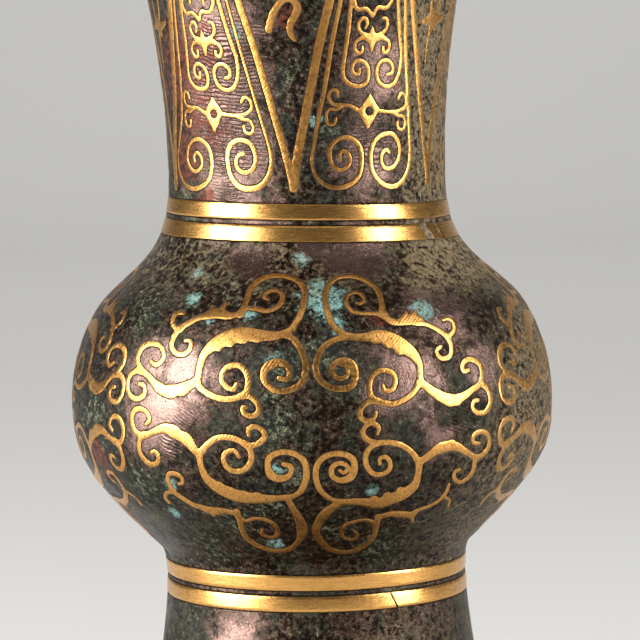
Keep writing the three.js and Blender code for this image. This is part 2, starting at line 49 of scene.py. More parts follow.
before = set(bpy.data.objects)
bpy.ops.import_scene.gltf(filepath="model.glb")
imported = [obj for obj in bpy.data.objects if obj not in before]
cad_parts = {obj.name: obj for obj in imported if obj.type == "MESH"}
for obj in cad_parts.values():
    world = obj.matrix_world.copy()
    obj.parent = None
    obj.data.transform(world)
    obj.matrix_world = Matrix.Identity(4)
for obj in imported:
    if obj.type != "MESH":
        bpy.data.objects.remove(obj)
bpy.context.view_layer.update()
MM = 0.001

# Outline of the skin, as (radius, height) where one curve meets the next

UP = (0, 1)
OUT_AND_UP = (1, 1)
IN_AND_UP = (-1.05, 1)
FOOT_RADIUS = 43.5
FOOT_BAND = 8.0
FOOT_TOP = (FOOT_RADIUS - 1.2, FOOT_BAND)
WAIST = (24.9, 58.3)
BELLY_FOOT = (25.9, 63.3)
BELLY_WIDE = (40.0, 87.5)
SHOULDER = (33.6, 105.0)
NECK = (22.9, 125.0)
MOUTH = (61.0, 217.6)
HEIGHT = 220.0
WALL = 2.6

# Rings: width, middle heights, and how far they drop toward the right and over what reach
RING_WIDTH = 2.5
NECK_UPPER_Z = 119.25
NECK_LOWER_Z = 115.85
FOOT_UPPER_Z = 59.75
FOOT_LOWER_Z = 56.35
NECK_RINGS = (NECK_LOWER_Z, NECK_UPPER_Z)
FOOT_RINGS = (FOOT_LOWER_Z, FOOT_UPPER_Z)
NECK_TILT = 0.72
FOOT_TILT = 0.22
NECK_TILT_REACH = 16
FOOT_TILT_REACH = 10

# The castings meet under these rings
FOOT_JOINT_Z = FOOT_UPPER_Z
NECK_JOINT_Z = NECK_LOWER_Z


def sweep(start, leave, end, arrive, shares, steps=80):
    """Points of a curve that leaves and arrives along given directions."""
    start, end = np.array(start, float), np.array(end, float)
    leave = np.array(leave, float) / np.hypot(*leave)
    arrive = np.array(arrive, float) / np.hypot(*arrive)
    chord = np.hypot(*(end - start))
    first = start + leave * chord * shares[0]
    second = end - arrive * chord * shares[1]
    t = np.linspace(0, 1, steps + 1)[:, None]
    return ((1 - t) ** 3 * start + 3 * t * (1 - t) ** 2 * first
            + 3 * t * t * (1 - t) * second + t ** 3 * end)


CURVES = [
    sweep(FOOT_TOP, (-1.4, 1), WAIST, UP, (0.34, 0.08)),
    sweep(WAIST, UP, BELLY_FOOT, OUT_AND_UP, (0.21, 0.25)),
    sweep(BELLY_FOOT, OUT_AND_UP, BELLY_WIDE, UP, (0.58, 0.35)),
    sweep(BELLY_WIDE, UP, SHOULDER, IN_AND_UP, (0.33, 0.27)),
    sweep(SHOULDER, IN_AND_UP, NECK, UP, (0.42, 0.54)),
    sweep(NECK, UP, MOUTH, (1.45, 1), (0.18, 0.41)),
]
OUTLINE = np.vstack([CURVES[0]] + [curve[1:] for curve in CURVES[1:]])
ARC = np.concatenate([[0], np.cumsum(np.hypot(*np.diff(OUTLINE, axis=0).T))])
BELLY_ARC = np.interp(BELLY_WIDE[1], OUTLINE[:, 1], ARC)


def radius_at(z):
    return np.interp(z, OUTLINE[:, 1], OUTLINE[:, 0])


def arc_at(z):
    return np.interp(z, OUTLINE[:, 1], ARC)


def height_at(arc):
    return np.interp(arc, ARC, OUTLINE[:, 1])


def slope_at(z):
    """Outward normal of the outline as (radial, upward)."""
    step = 0.4
    run = radius_at(z + step) - radius_at(z - step)
    length = np.hypot(run, 2 * step)
    return 2 * step / length, -run / length


def relief(theta, z):
    """Slow unevenness of the cast skin, as waves that wind round it."""
    a = np.radians(theta)
    return (0.06 * np.sin(3 * a + 0.11 * z + 0.4) * np.sin(0.17 * z + 1)
            + 0.035 * np.sin(7 * a - 0.23 * z + 2.1)
            + 0.02 * np.sin(13 * a + 0.41 * z))


def near_rings(z, rings, reach):
    """Share of the rings' tilt at a height, easing off away from them."""
    share = np.clip(1 - np.abs(z - sum(rings) / 2) / reach, 0, 1)
    return np.clip(1.6 * share * share * (3 - 2 * share), 0, 1)


def tilt_at(z):
    """How far the skin at this height drops toward the right."""
    return (NECK_TILT * near_rings(z, NECK_RINGS, NECK_TILT_REACH)
            + FOOT_TILT * near_rings(z, FOOT_RINGS, FOOT_TILT_REACH))


# Drawn gold: fields of distance to the nearest gold edge, negative on gold

# The grid's step, the largest distance kept, how far a stroke is felt, how softly strokes join, and the
# narrowest stroke
CELL = 0.24
FAR = 3.0
REACH = 1.5
BLEND = 0.32
THINNEST = 0.25
# Height over the skin at the gold's edge and middle, how far the rise spreads, and the depth of its root
EDGE_LIFT = 0.02
TOP_LIFT = 0.07
EDGE_ROUND = 0.13
ROOT_DEPTH = 0.14

# How gold fills a cell of the grid, by which corners lie in it: 1 for a, 2 for b, 4 for c and 8 for d.
# The corners run round from the lower left, and s, e, n, w are the places where the edge crosses the sides.
CELL_SHAPES = {
    1: ["asw"], 2: ["bes"], 3: ["abew"], 4: ["cne"], 5: ["asw", "cne"], 6: ["bcns"], 7: ["abcnw"],
    8: ["dwn"], 9: ["asnd"], 10: ["bes", "dwn"], 11: ["abend"], 12: ["cdwe"], 13: ["asecd"],
    14: ["bcdws"], 15: ["abcd"],
}


def smooth(points, step=0.3):
    """A smooth line through drawn [x, y, width] points. Each span bends by its neighbours' places."""
    points = np.array(points, float)
    if len(points) == 2:
        count = max(int(np.hypot(*(points[1] - points[0])[:2]) / step), 1)
        return points[0] + np.linspace(0, 1, count + 1)[:, None] * (points[1] - points[0])
    padded = np.vstack([2 * points[0] - points[1], points, 2 * points[-1] - points[-2]])
    gaps = np.hypot(*np.diff(padded[:, :2], axis=0).T)
    knots = np.concatenate([[0], np.cumsum(np.sqrt(gaps) + 1e-6)])
    result = []
    for k in range(1, len(padded) - 2):
        p0, p1, p2, p3 = padded[k - 1:k + 3]
        t0, t1, t2, t3 = knots[k - 1:k + 3]
        count = max(int(np.hypot(*(p2 - p1)[:2]) / step), 1)
        t = np.linspace(t1, t2, count + 1)[:-1, None]
        a1 = (t1 - t) / (t1 - t0) * p0 + (t - t0) / (t1 - t0) * p1
        a2 = (t2 - t) / (t2 - t1) * p1 + (t - t1) / (t2 - t1) * p2
        a3 = (t3 - t) / (t3 - t2) * p2 + (t - t2) / (t3 - t2) * p3
        b1 = (t2 - t) / (t2 - t0) * a1 + (t - t0) / (t2 - t0) * a2
        b2 = (t3 - t) / (t3 - t1) * a2 + (t - t1) / (t3 - t1) * a3
        result.append((t2 - t) / (t2 - t1) * b1 + (t - t1) / (t2 - t1) * b2)
    result.append(points[-1:])
    line = np.vstack(result)
    line[:, 2] = np.maximum(line[:, 2], THINNEST)
    return line


class Figure:
    """A flat drawing of gold, x along the skin and y along its outline."""

    def __init__(self, left, right, low, high):
        self.x = np.arange(left, right + CELL, CELL)
        self.y = np.arange(low, high + CELL, CELL)
        self.field = np.full((len(self.x), len(self.y)), FAR)

    def add(self, line):
        """Adds one stroke of [x, y, width] points."""
        low = line[:, :2].min(0) - REACH - 1
        high = line[:, :2].max(0) + REACH + 1
        i0, i1 = np.searchsorted(self.x, [low[0], high[0]])
        j0, j1 = np.searchsorted(self.y, [low[1], high[1]])
        if i1 <= i0 or j1 <= j0:
            return
        stroke = np.full((i1 - i0, j1 - j0), FAR)
        for (ax, ay, aw), (bx, by, bw) in zip(line[:-1], line[1:]):
            reach = REACH + max(aw, bw) / 2
            p0 = np.searchsorted(self.x[i0:i1], min(ax, bx) - reach)
            p1 = np.searchsorted(self.x[i0:i1], max(ax, bx) + reach)
            q0 = np.searchsorted(self.y[j0:j1], min(ay, by) - reach)
            q1 = np.searchsorted(self.y[j0:j1], max(ay, by) + reach)
            dx = self.x[i0 + p0:i0 + p1, None] - ax
            dy = self.y[None, j0 + q0:j0 + q1] - ay
            ex, ey = bx - ax, by - ay
            share = np.clip((dx * ex + dy * ey) / max(ex * ex + ey * ey, 1e-9), 0, 1)
            distance = np.hypot(dx - share * ex, dy - share * ey) - (aw + share * (bw - aw)) / 2
            window = stroke[p0:p1, q0:q1]
            np.minimum(window, distance, out=window)
        whole = self.field[i0:i1, j0:j1]
        near = np.maximum(BLEND - np.abs(whole - stroke), 0) / BLEND
        whole[:] = np.minimum(whole, stroke) - near * near * BLEND / 4

    def add_area(self, corners):
        """Adds a filled area with [x, y] corners."""
        corners = np.array(corners, float)
        x, y = self.x[:, None], self.y[None, :]
        away = np.full(self.field.shape, FAR)
        inside = np.zeros(self.field.shape, bool)
        for (ax, ay), (bx, by) in zip(corners, np.roll(corners, -1, axis=0)):
            ex, ey = bx - ax, by - ay
            share = np.clip(((x - ax) * ex + (y - ay) * ey) / (ex * ex + ey * ey), 0, 1)
            away = np.minimum(away, np.hypot(x - ax - share * ex, y - ay - share * ey))
            if ay != by:
                inside ^= ((ay > y) != (by > y)) & (x < ax + (y - ay) / ey * ex)
        self.field = np.minimum(self.field, np.where(inside, -away, away))

    def cut(self, x, y, radius):
        """Leaves a round hole."""
        self.field = np.maximum(self.field, radius - np.hypot(self.x[:, None] - x, self.y[None, :] - y))

    def roughen(self, amount, seed):
        """Lets the edge wander a little, as a cut line does."""
        x, y = self.x[:, None] + seed, self.y[None, :] - seed
        wander = (np.sin(1.9 * x + 0.7 * y) * np.sin(0.6 * x - 2.3 * y)
                  + 0.6 * np.sin(4.1 * x - 2.2 * y) * np.sin(3.1 * x + 4.4 * y))
        self.field = self.field + amount * wander

    def sample(self, x, y):
        """Distance to gold at places of the drawing, FAR outside it."""
        fx = (x - self.x[0]) / CELL
        fy = (y - self.y[0]) / CELL
        inside = (fx >= 0) & (fy >= 0) & (fx < len(self.x) - 1) & (fy < len(self.y) - 1)
        i = np.where(inside, fx, 0).astype(int)
        j = np.where(inside, fy, 0).astype(int)
        s, t = fx - i, fy - j
        f = self.field
        value = ((1 - s) * (1 - t) * f[i, j] + s * (1 - t) * f[i + 1, j]
                 + (1 - s) * t * f[i, j + 1] + s * t * f[i + 1, j + 1])
        return np.where(inside, np.clip(value, -FAR, FAR), FAR)

    def crossings(self, axis, inside):
        """Where the gold's edge crosses the grid along one axis: a table of cells and the points."""
        ahead = np.roll(self.field, -1, axis)
        crossed = np.diff(inside, axis=axis, append=inside.take([-1], axis))
        share = np.clip(self.field[crossed] / (self.field[crossed] - ahead[crossed]), 0.05, 0.95)
        i, j = np.nonzero(crossed)
        points = np.column_stack([self.x[i], self.y[j], np.full(len(share), EDGE_LIFT)])
        points[:, axis] += share * CELL
        return crossed, points

    def plate(self):
        """Vertices [x, y, lift] and faces of the drawing as a closed plate."""
        inside = self.field < 0
        i, j = np.nonzero(inside)
        rise = 1 - np.exp(self.field[inside] / EDGE_ROUND)
        vertices = [np.column_stack([self.x[i], self.y[j], EDGE_LIFT + (TOP_LIFT - EDGE_LIFT) * rise])]
        corner = np.full(inside.shape, -1)
        corner[inside] = np.arange(len(i))
        count = len(i)
        sides = []
        for axis in (0, 1):
            crossed, points = self.crossings(axis, inside)
            table = np.full(crossed.shape, -1)
            table[crossed] = count + np.arange(len(points))
            sides.append(table)
            vertices.append(points)
            count += len(points)
        across, along = sides
        keys = {
            "a": corner[:-1, :-1], "b": corner[1:, :-1], "c": corner[1:, 1:], "d": corner[:-1, 1:],
            "s": across[:-1, :-1], "e": along[1:, :-1], "n": across[:-1, 1:], "w": along[:-1, :-1],
        }
        case = inside[:-1, :-1] + inside[1:, :-1] * 2 + inside[1:, 1:] * 4 + inside[:-1, 1:] * 8
        faces, rim = [], []
        for number, polygons in CELL_SHAPES.items():
            cells = case == number
            for polygon in polygons:
                rows = np.column_stack([keys[key][cells] for key in polygon])
                faces.extend(rows.tolist())
                for k, key in enumerate(polygon):
                    after = (k + 1) % len(polygon)
                    if key in "snew" and polygon[after] in "snew":
                        rim.append(rows[:, [k, after]])
        top = np.vstack(vertices)
        bottom = top.copy()
        bottom[:, 2] = -ROOT_DEPTH
        under = [[index + count for index in reversed(face)] for face in faces]
        walls = [[a + count, b + count, b, a] for a, b in np.vstack(rim).tolist()]
        return np.vstack([top, bottom]), faces + under + walls


# Neck: a blade's drawing, x in degrees from its middle and y in height over the neck's z = 100

NECK_ZERO = 100.0
# Degrees from blade to blade, wide at the front and narrow elsewhere, and the middles of the first blades
WIDE = 64.2
NARROW = 57.9
LEFT_BLADE = -37.5
RIGHT_BLADE = LEFT_BLADE + WIDE
BACK_BLADE = RIGHT_BLADE + (WIDE + NARROW) / 2

# How many degrees a drawing leans to the right, by height
BLADE_LEAN = ((20, 0.8), (27.5, 0.5), (35, -1.0), (41, -2.0), (47, -3.2), (52, -4.0), (62, -4.2), (94, 0))
EDGE_LEAN = ((23.4, 0), (29.2, -1.1), (37.2, -1.8), (45.2, -2.6), (53.1, -3.1), (62, -3.2), (94, 0))
NO_LEAN = ((20, 0), (94, 0))

# A blade's edge as (height, half width), and the width of the V strip on it
BLADE_EDGE = ((23.2, 32.1), (28.3, 30.2), (32.4, 28.0), (36.5, 25.8), (40.6, 23.6), (44.6, 21.6),
              (48.6, 19.4), (52.5, 17.2), (60, 14.3), (70, 10.4), (80, 6.5), (90, 2.6), (93.6, 1.2))
RIGHT_EDGE_STROKE = 1.1
LEFT_EDGE_STROKE = 1.38

BLADE_STROKES = [
    # Second lines, with the large spirals in the blade's lower corners
    [(-0.6, 86, .6), (-3.2, 79, .65), (-6.8, 69, .7), (-10.2, 60, .7), (-13.4, 52, .72), (-16.3, 45.8, .72),
     (-18.8, 39.5, .7), (-21.7, 34.1, .62), (-23.4, 30.3, .55), (-24.6, 27.4, .5), (-23.4, 25.3, .5),
     (-20, 23.7, .6), (-14.6, 23, .72), (-9.2, 23.5, .75), (-5.4, 24.9, .75), (-4.2, 27, .75),
     (-5, 29.5, .72), (-8.4, 30.8, .7), (-12.5, 31, .7), (-16.3, 29.9, .68), (-17.4, 28, .66),
     (-15.9, 26.4, .64), (-12.9, 25.8, .62), (-9.6, 26.6, .6), (-9.2, 28, .6), (-11.7, 28.9, .58),
     (-13.4, 28.3, .55), (-12.9, 27.4, .5)],
    [(0.6, 86, .6), (3.2, 79, .65), (6.8, 69, .7), (10.2, 60, .7), (13.7, 52, .72), (15.4, 45.8, .72),
     (17.5, 39.5, .72), (18.7, 34.5, .68), (19.6, 30.3, .6), (20, 28.3, .6), (18.7, 25.3, .66),
     (15, 23.5, .72), (10, 22.8, .75), (4.6, 23.5, .75), (.8, 25.3, .72), (-.2, 27.4, .7), (1.2, 29.9, .7),
     (5.4, 31.2, .7), (10.4, 31.2, .7), (13.7, 29.5, .68), (13.7, 27.4, .66), (10.8, 26, .64),
     (6.6, 25.8, .62), (4.8, 27, .6), (5.4, 28.3, .58), (7.5, 28.8, .55), (8.7, 28.3, .5)],
    # Third lines, with the middle spirals
    [(-3.2, 74, .6), (-5.4, 67, .62), (-7.6, 59, .65), (-9.2, 52, .65), (-10, 47.8, .65),
     (-11.3, 43.7, .62), (-11.9, 41.2, .6), (-10.4, 39.9, .6), (-6.3, 39.1, .65), (-2.5, 39.5, .62),
     (-1.3, 41.2, .6), (-2.5, 42.6, .6), (-5.9, 43.2, .6), (-8.2, 42.2, .58), (-7.5, 41.1, .55),
     (-5.4, 41, .5), (-5, 41.8, .45)],
    [(3.2, 74, .6), (5.6, 67, .62), (8, 59, .65), (10.2, 52, .65), (12.2, 47, .65), (13.7, 43.6, .62),
     (12.9, 41, .6), (10.4, 39.3, .62), (6.6, 38.9, .65), (3.3, 39.7, .62), (2.2, 41.2, .6),
     (3.3, 42.6, .6), (6.6, 43.1, .6), (9.6, 42.2, .58), (9.6, 41.1, .55), (7.1, 40.8, .5)],
    # Arms of the lozenge, with small curls
    [(-6, 35.4, .62), (-9.5, 36.1, .5), (-12.5, 36.2, .5), (-16.2, 36.5, .5), (-17.5, 37.6, .5),
     (-16.2, 38.7, .5), (-14.2, 38.5, .48), (-13.8, 37.6, .45)],
    [(-11.8, 36.1, .5), (-14.2, 35.5, .5), (-17.2, 35.6, .5), (-18.6, 34.5, .5), (-17.6, 33.2, .5),
     (-15.4, 33.2, .48), (-14.8, 34.1, .45)],
    [(3.2, 35.1, .62), (7, 34.9, .5), (10.4, 34.8, .5), (15, 35.2, .5), (17.2, 36, .5), (16.6, 37.4, .5),
     (14.2, 37.7, .5), (13, 36.9, .45)],
    [(10, 34.8, .5), (12.8, 34.2, .5), (15.6, 34, .5), (17, 32.9, .5), (15.6, 31.9, .5), (13.2, 32.2, .48),
     (12.8, 33.1, .45)],
    # Small curls of the star
    [(-2.2, 47.2, .5), (-4.6, 47.5, .55), (-6, 48.5, .55), (-5.4, 49.6, .55), (-3.6, 49.9, .55),
     (-2.4, 49.1, .5), (-3.2, 48.3, .45)],
    [(-4.4, 46.7, .5), (-6.8, 46.2, .55), (-7.4, 45.2, .55), (-5.9, 44.3, .55), (-4.3, 44.5, .5),
     (-4.2, 45.3, .45)],
    [(2.2, 47.2, .5), (4.7, 47.6, .55), (6.1, 48.6, .55), (5.5, 49.7, .5), (3.9, 49.8, .45)],
    [(4.2, 46.5, .5), (6.9, 46.2, .55), (7.7, 45.2, .55), (6.4, 44.3, .55), (4.8, 44.5, .5),
     (4.8, 45.2, .45)],
    # Small curls over the star, and the arms of the lozenge under the tip
    [(-.4, 50.2, .5), (-3.4, 51.4, .6), (-6.6, 51.3, .6), (-8, 53, .6), (-6.4, 54.4, .6), (-3.8, 54, .55),
     (-3.6, 52.9, .45)],
    [(-.4, 50.2, .5), (1.4, 51.5, .6), (5, 51.4, .6), (7.4, 52.9, .6), (5.8, 54.4, .6), (3.2, 54, .55),
     (3, 52.9, .45)],
    [(-2.2, 61.8, .5), (-4.2, 61.8, .5), (-5, 63, .45), (-4, 63.8, .4)],
    [(2.2, 61.8, .5), (4.2, 61.8, .5), (5, 63, .45), (4, 63.8, .4)],
]
# Second lines of the left front blade, which is drawn wider at its foot
LEFT_BLADE_LINES = [
    [(-.6, 86, .55), (-4.2, 79, .55), (-8.6, 69, .6), (-13, 60, .62), (-17.4, 52, .65), (-19.3, 45.8, .66),
     (-20.5, 39.5, .66), (-22.5, 34.1, .6), (-25.8, 30.3, .55), (-28, 27.4, .5), (-26.5, 25.3, .55),
     (-22.5, 23.7, .65), (-16.2, 23, .75), (-10, 23.5, .78), (-5.7, 24.9, .76), (-4.4, 27, .74),
     (-5.5, 29.5, .7), (-9.3, 30.8, .68), (-13.7, 31, .66), (-18.1, 29.9, .64), (-19.8, 28, .64),
     (-17.9, 26.4, .64), (-14.4, 25.8, .62), (-10.6, 26.6, .6), (-10.3, 28, .58), (-13, 28.9, .56),
     (-15, 28.3, .52), (-14.5, 27.4, .45)],
    [(.6, 86, .5), (1, 79, .5), (3, 69, .45), (6.2, 60, .42), (9.7, 52, .4), (12.6, 45.8, .42),
     (16.2, 39.5, .45), (19.6, 34.3, .48), (21.7, 31.3, .52), (23.1, 29.1, .6), (23.4, 27.1, .7),
     (22, 25.1, .8), (18.9, 23.6, .88), (14.5, 23.1, .9), (9.5, 23.4, .85), (5.9, 24.8, .8),
     (4.1, 26.9, .76), (4.3, 29.1, .74), (6.7, 30.5, .72), (10.8, 30.9, .7), (14.4, 30.4, .7),
     (16.6, 28.9, .7), (16.7, 27.3, .7), (14.7, 26, .68), (11.5, 25.7, .66), (8.8, 26.3, .64),
     (8.1, 27.5, .62), (9.5, 28.5, .6), (11.7, 28.7, .5)],
]
# Filled parts, as [x, y] corners, and the round hole in the lozenge
LOZENGE = [(-.5, 37.9), (3.8, 35.3), (-1.4, 32.1), (-5.7, 35.2)]
LOZENGE_EYE = (-.8, 35.1)
LOZENGE_EYE_RADIUS = 0.74
STAR = [(-.3, 48.7), (1, 47.4), (4.2, 47.2), (6.4, 46.7), (3.8, 46.4), (1.2, 46), (-.3, 44.1), (-1.6, 46),
        (-4, 46.5), (-6.2, 46.8), (-4, 47.2), (-1.5, 47.4)]
TIP_LOZENGE = [(0, 64.6), (2.1, 61.8), (0, 59), (-2.1, 61.8)]

# Pendants in the spaces between the blades, x in degrees from the space's middle
ARCH_PENDANT = [
    [(-7.5, 48.4, 1.15), (-6.8, 49.6, 1.05), (-5.6, 50.9, 1.05), (-3.3, 52.4, 1.05), (-.6, 53.3, 1),
     (1.8, 53, 1.1), (3.4, 51.9, 1.2), (2.6, 50.7, 1.2), (.9, 49.5, 1.1), (.3, 48.4, 1), (1, 47.3, .85),
     (2.1, 46.7, .6)],
    [(-.6, 53.2, 1), (-.5, 57, .8), (-3.4, 60.6, .7), (-5.8, 59.4, .7), (-5, 57.6, .6)],
    [(-.5, 57, .8), (2.6, 60.6, .7), (5, 59.4, .7), (4.2, 57.6, .6)],
    [(-.5, 57, .8), (-.4, 63, .9), (-.2, 68, .4)],
]
FLOWER_PENDANT = [
    [(-7.6, 49.1, .8), (-4.4, 49.5, 1.2), (-1.4, 49.4, 1.9), (2, 49.4, 1.3), (5.6, 49.9, .8)],
    [(-1.5, 49.4, 1.5), (-3.4, 51.2, .8), (-3.6, 53, .6), (-2, 55, .6), (.5, 55.4, .6)],
    [(-1.2, 49.6, 1.4), (1.6, 51.4, .8), (2.6, 53.4, .6)],
    [(-1.2, 49.2, 1.5), (.6, 47.8, .7)],
    [(-1.6, 49.2, 1.4), (-3, 47.2, .7), (-3.9, 45.3, .55), (-4.3, 42.5, .4)],
    [(.5, 55.4, .6), (.4, 60, .8), (.2, 66, .4)],
]

# Belly: the front motif, x along the widest belly and y along the outline from it. Each quarter has
# its stem with a notched back, its scrolls, its leaf with two curls, and its tail with a forked end.
UPPER_LEFT = [
    [(-3.3, 14.8, 1), (-5.7, 13.9, 1.3), (-8.5, 13.9, 1.9), (-11, 14.1, 2.4), (-13.2, 13.9, 2.5),
     (-15.3, 13.2, 2.3), (-16.9, 12.2, 1.8), (-18.1, 11, 1.3), (-18.7, 9.2, 1.1), (-18.9, 6.3, 1.1)],
    [(-9.1, 13.8, 1.75), (-9.2, 13.55, 1.65)],
    [(-11.7, 13.6, 1.95), (-11.7, 13.35, 1.65)],
    [(-14, 13.1, 1.95), (-13.95, 12.8, 1.65)],
    [(-16.1, 12.2, 1.65), (-15.9, 11.95, 1.35)],
    [(-5, 14.1, .9), (-3.3, 13.5, .95), (-2.1, 12.2, 1), (-1.3, 10.6, 1), (-.9, 8.6, 1), (-1.7, 6.2, .95),
     (-3.7, 5.1, .9), (-5.9, 5.1, .9), (-7.6, 6.7, .95), (-7.5, 8.4, 1.2), (-6.2, 9.3, 1.5),
     (-4.5, 9.3, 1.1), (-3.5, 8.2, .85), (-3.9, 6.8, .8), (-5.2, 7, .7)],
    [(-19.2, 6.4, 1.1), (-20.6, 5.6, 1.5), (-21.7, 5, 2), (-22.7, 4.9, 1.7), (-23.9, 4.6, 2.1),
     (-25.1, 4.7, 1.7), (-26.2, 5.1, 1.7), (-27.4, 5.8, 1.25), (-29, 6.9, 1.05), (-30.9, 7.9, 1),
     (-32.3, 9.5, .95), (-31.7, 11.5, .9), (-29.6, 12.2, .85), (-27.2, 11.6, .8), (-26.3, 9.9, .75),
     (-27.7, 8.7, .7), (-29, 9.3, .6)],
    [(-30.6, 7.5, 1), (-32.3, 7.5, .95), (-33.5, 6.5, .9), (-33.6, 5.2, .9), (-33.2, 4.1, .85),
     (-32.1, 3.3, .85), (-30.5, 3.2, .8), (-29.3, 4, .75), (-29.7, 5.3, .7), (-30.9, 5.5, .6)],
    [(-19.3, 6.4, 1.1), (-18.1, 5.2, .95), (-16, 4.1, .9), (-13.8, 3.7, .9), (-11.6, 4.1, .9),
     (-10.5, 4.9, .9), (-10.2, 6.3, .9), (-10.6, 7.9, .9), (-11.8, 9, .88), (-13.2, 9, .85),
     (-14.4, 8.2, .82), (-14.7, 6.7, .8), (-13.6, 5.5, .75), (-12.5, 5.3, .7), (-12.2, 6.1, .6)],
    [(-11.4, 4.1, .85), (-10, 4.2, .85), (-8.8, 3.3, .85), (-8.4, 2.2, .82), (-8.8, 1.4, .8),
     (-9.9, 1.1, .78), (-10.9, 1.6, .72), (-11, 2.4, .66), (-10.4, 2.5, .6)],
    [(-12.8, 17.5, 1), (-12.6, 19.2, .9), (-12.4, 21, .95), (-12.4, 22.9, 1), (-11.5, 24.5, 1),
     (-9.5, 25.6, .95), (-6.9, 25.9, .95), (-4.4, 25.5, .95), (-2.5, 24.7, .95), (-1.1, 22.8, .95),
     (-1.1, 20.1, .95), (-2, 17.1, .95), (-3.3, 14.8, .9)],
    [(-13.1, 17.8, 1), (-12, 18.9, .85), (-10.2, 18.7, .82), (-7.9, 18.3, .82), (-6.1, 19.2, .82),
     (-5.3, 21, .8), (-6, 22.4, .78), (-7.6, 22.7, .75), (-8.9, 22, .7), (-9.1, 21.2, .66),
     (-8.2, 20.8, .6)],
    [(-13, 17.8, 1), (-15.2, 17.3, 1.1), (-17.2, 17.7, 1.6), (-18.6, 17.7, 1.6), (-19.9, 17.2, 1.1),
     (-21.2, 16.9, .95), (-22.6, 16.1, .95), (-24.3, 14.9, .95), (-25.1, 13.4, .9), (-25, 11.7, .85),
     (-23.6, 10.7, .8), (-21.9, 10.8, .75), (-21.1, 11.9, .7), (-21.6, 13, .62), (-22.5, 12.9, .55)],
    [(-24, 14.8, .9), (-25.5, 15.1, .85), (-26.6, 16.2, .85), (-26.5, 17.4, .82), (-25.6, 17.9, .75),
     (-24.8, 17.7, .62)],
    [(-19.3, 17.5, 1.3), (-17.8, 17.9, 1.7), (-15.4, 17.5, 1.2)],
    [(-18.3, 18.1, 1), (-19.3, 19.4, .45)],
    [(-17, 18.2, 1.2), (-16.8, 19.2, .8), (-16.7, 20.2, .4)],
]
LOWER_LEFT = [
    [(-4.3, -12.6, 1), (-7, -12.9, 1.4), (-9.7, -12.9, 2), (-12, -12.7, 2.4), (-13.8, -12.2, 2.4),
     (-15.8, -11.2, 2.1), (-17.3, -10.1, 1.7), (-18.2, -8.9, 1.3), (-18.7, -7.1, 1), (-18.7, -5, 1.1)],
    [(-10, -12.6, 1.75), (-9.85, -12.35, 1.55)],
    [(-12.3, -12.4, 1.85), (-12.2, -12.1, 1.55)],
    [(-14.6, -11.7, 1.75), (-14.35, -11.45, 1.45)],
    [(-16.4, -10.6, 1.55), (-16.1, -10.3, 1.25)],
    [(-5, -12.7, .9), (-3.5, -12.4, .95), (-2.4, -11.6, 1), (-1.6, -10, 1), (-1.2, -8.3, 1),
     (-1.6, -5.9, .95), (-3.4, -4.7, .9), (-5.3, -4.6, .9), (-7, -5.5, .92), (-7.3, -7.2, 1),
     (-6.7, -8.6, 1.4), (-5.2, -9, 1.2), (-3.9, -8.4, .85), (-3.6, -7, .8), (-4.8, -6.5, .7)],
    [(-19, -5.1, 1.1), (-20, -3.8, 1.5), (-20.9, -2.8, 1.95), (-22, -2.3, 1.65), (-23.1, -1.7, 2.05),
     (-24.4, -1.3, 1.6), (-25.7, -1.35, 1.3), (-27.4, -2, 1), (-29.4, -2.6, 1), (-31.1, -2.3, .95),
     (-31.9, -1.1, .92), (-32, .1, .9), (-31.5, 1.1, .85), (-30.2, 1.6, .8), (-28.6, 1.1, .75),
     (-28, -.1, .7), (-28.8, -.8, .6)],
    [(-29.3, -2.5, 1), (-30.5, -3.5, .95), (-30.8, -5.2, .9), (-30, -6.7, .88), (-28.6, -7.4, .85),
     (-27.1, -6.8, .8), (-26.8, -5.6, .75), (-27.5, -5.1, .68), (-28.2, -5.4, .6)],
    [(-18.6, -5, 1.1), (-17.1, -3.5, .95), (-15.2, -2.4, .9), (-12.9, -2.4, .9), (-11, -3.2, .9),
     (-10, -4.3, .9), (-10, -6, .9), (-11.1, -7.4, .88), (-12.9, -7.8, .85), (-14.2, -7, .82),
     (-14.6, -5.6, .78), (-13.9, -4.6, .72), (-12.6, -4.4, .66), (-11.9, -5.4, .6)],
    [(-11, -3.2, .85), (-9.6, -3.5, .85), (-8.2, -2.9, .85), (-7.5, -1.9, .82), (-8.1, -.9, .8),
     (-9.2, -.5, .76), (-10.2, -1, .7), (-10.1, -1.9, .6)],
    [(-4.5, -13.2, .95), (-3.8, -15.3, 1.1), (-2.9, -17.9, 1.5), (-2.6, -20.3, 1.8), (-3.3, -22.7, 1.1),
     (-5.6, -25.3, .95), (-7.9, -25.9, .95), (-10.5, -25.7, .95), (-13.2, -24.4, 1), (-14.8, -22.3, 1),
     (-14.8, -20, .95), (-14.5, -17.6, .95), (-14.3, -15.6, .95)],
    [(-14.5, -17.1, .95), (-13.3, -18.2, .85), (-11.5, -17.5, .82), (-9.4, -17.7, .82), (-7.9, -18.9, .8),
     (-7.6, -20.9, .8), (-8.6, -22.2, .76), (-10.1, -22.1, .72), (-11, -21.2, .66), (-10.6, -20.3, .6)],
    [(-14.5, -16.4, 1.1), (-17.2, -15.8, 1.2), (-19.6, -15.9, 1.6), (-21.2, -15.4, 1.2), (-22.9, -14.8, 1),
     (-24.4, -13.6, .95), (-25.8, -12.3, .92), (-26.1, -10.8, .9), (-25.9, -9.5, .85), (-25.3, -8.8, .8),
     (-23.9, -8.7, .76), (-22.9, -9.4, .7), (-23.2, -10.4, .62), (-24, -10.6, .55)],
    [(-25.6, -12.1, .85), (-27.8, -12.8, .8), (-28.6, -13.8, .75), (-28.3, -14.9, .6)],
    [(-18.6, -16.1, 1.55), (-18.05, -16.25, 1.35)],
    [(-19.3, -16.2, 1.2), (-19.6, -17.3, .5)],
]
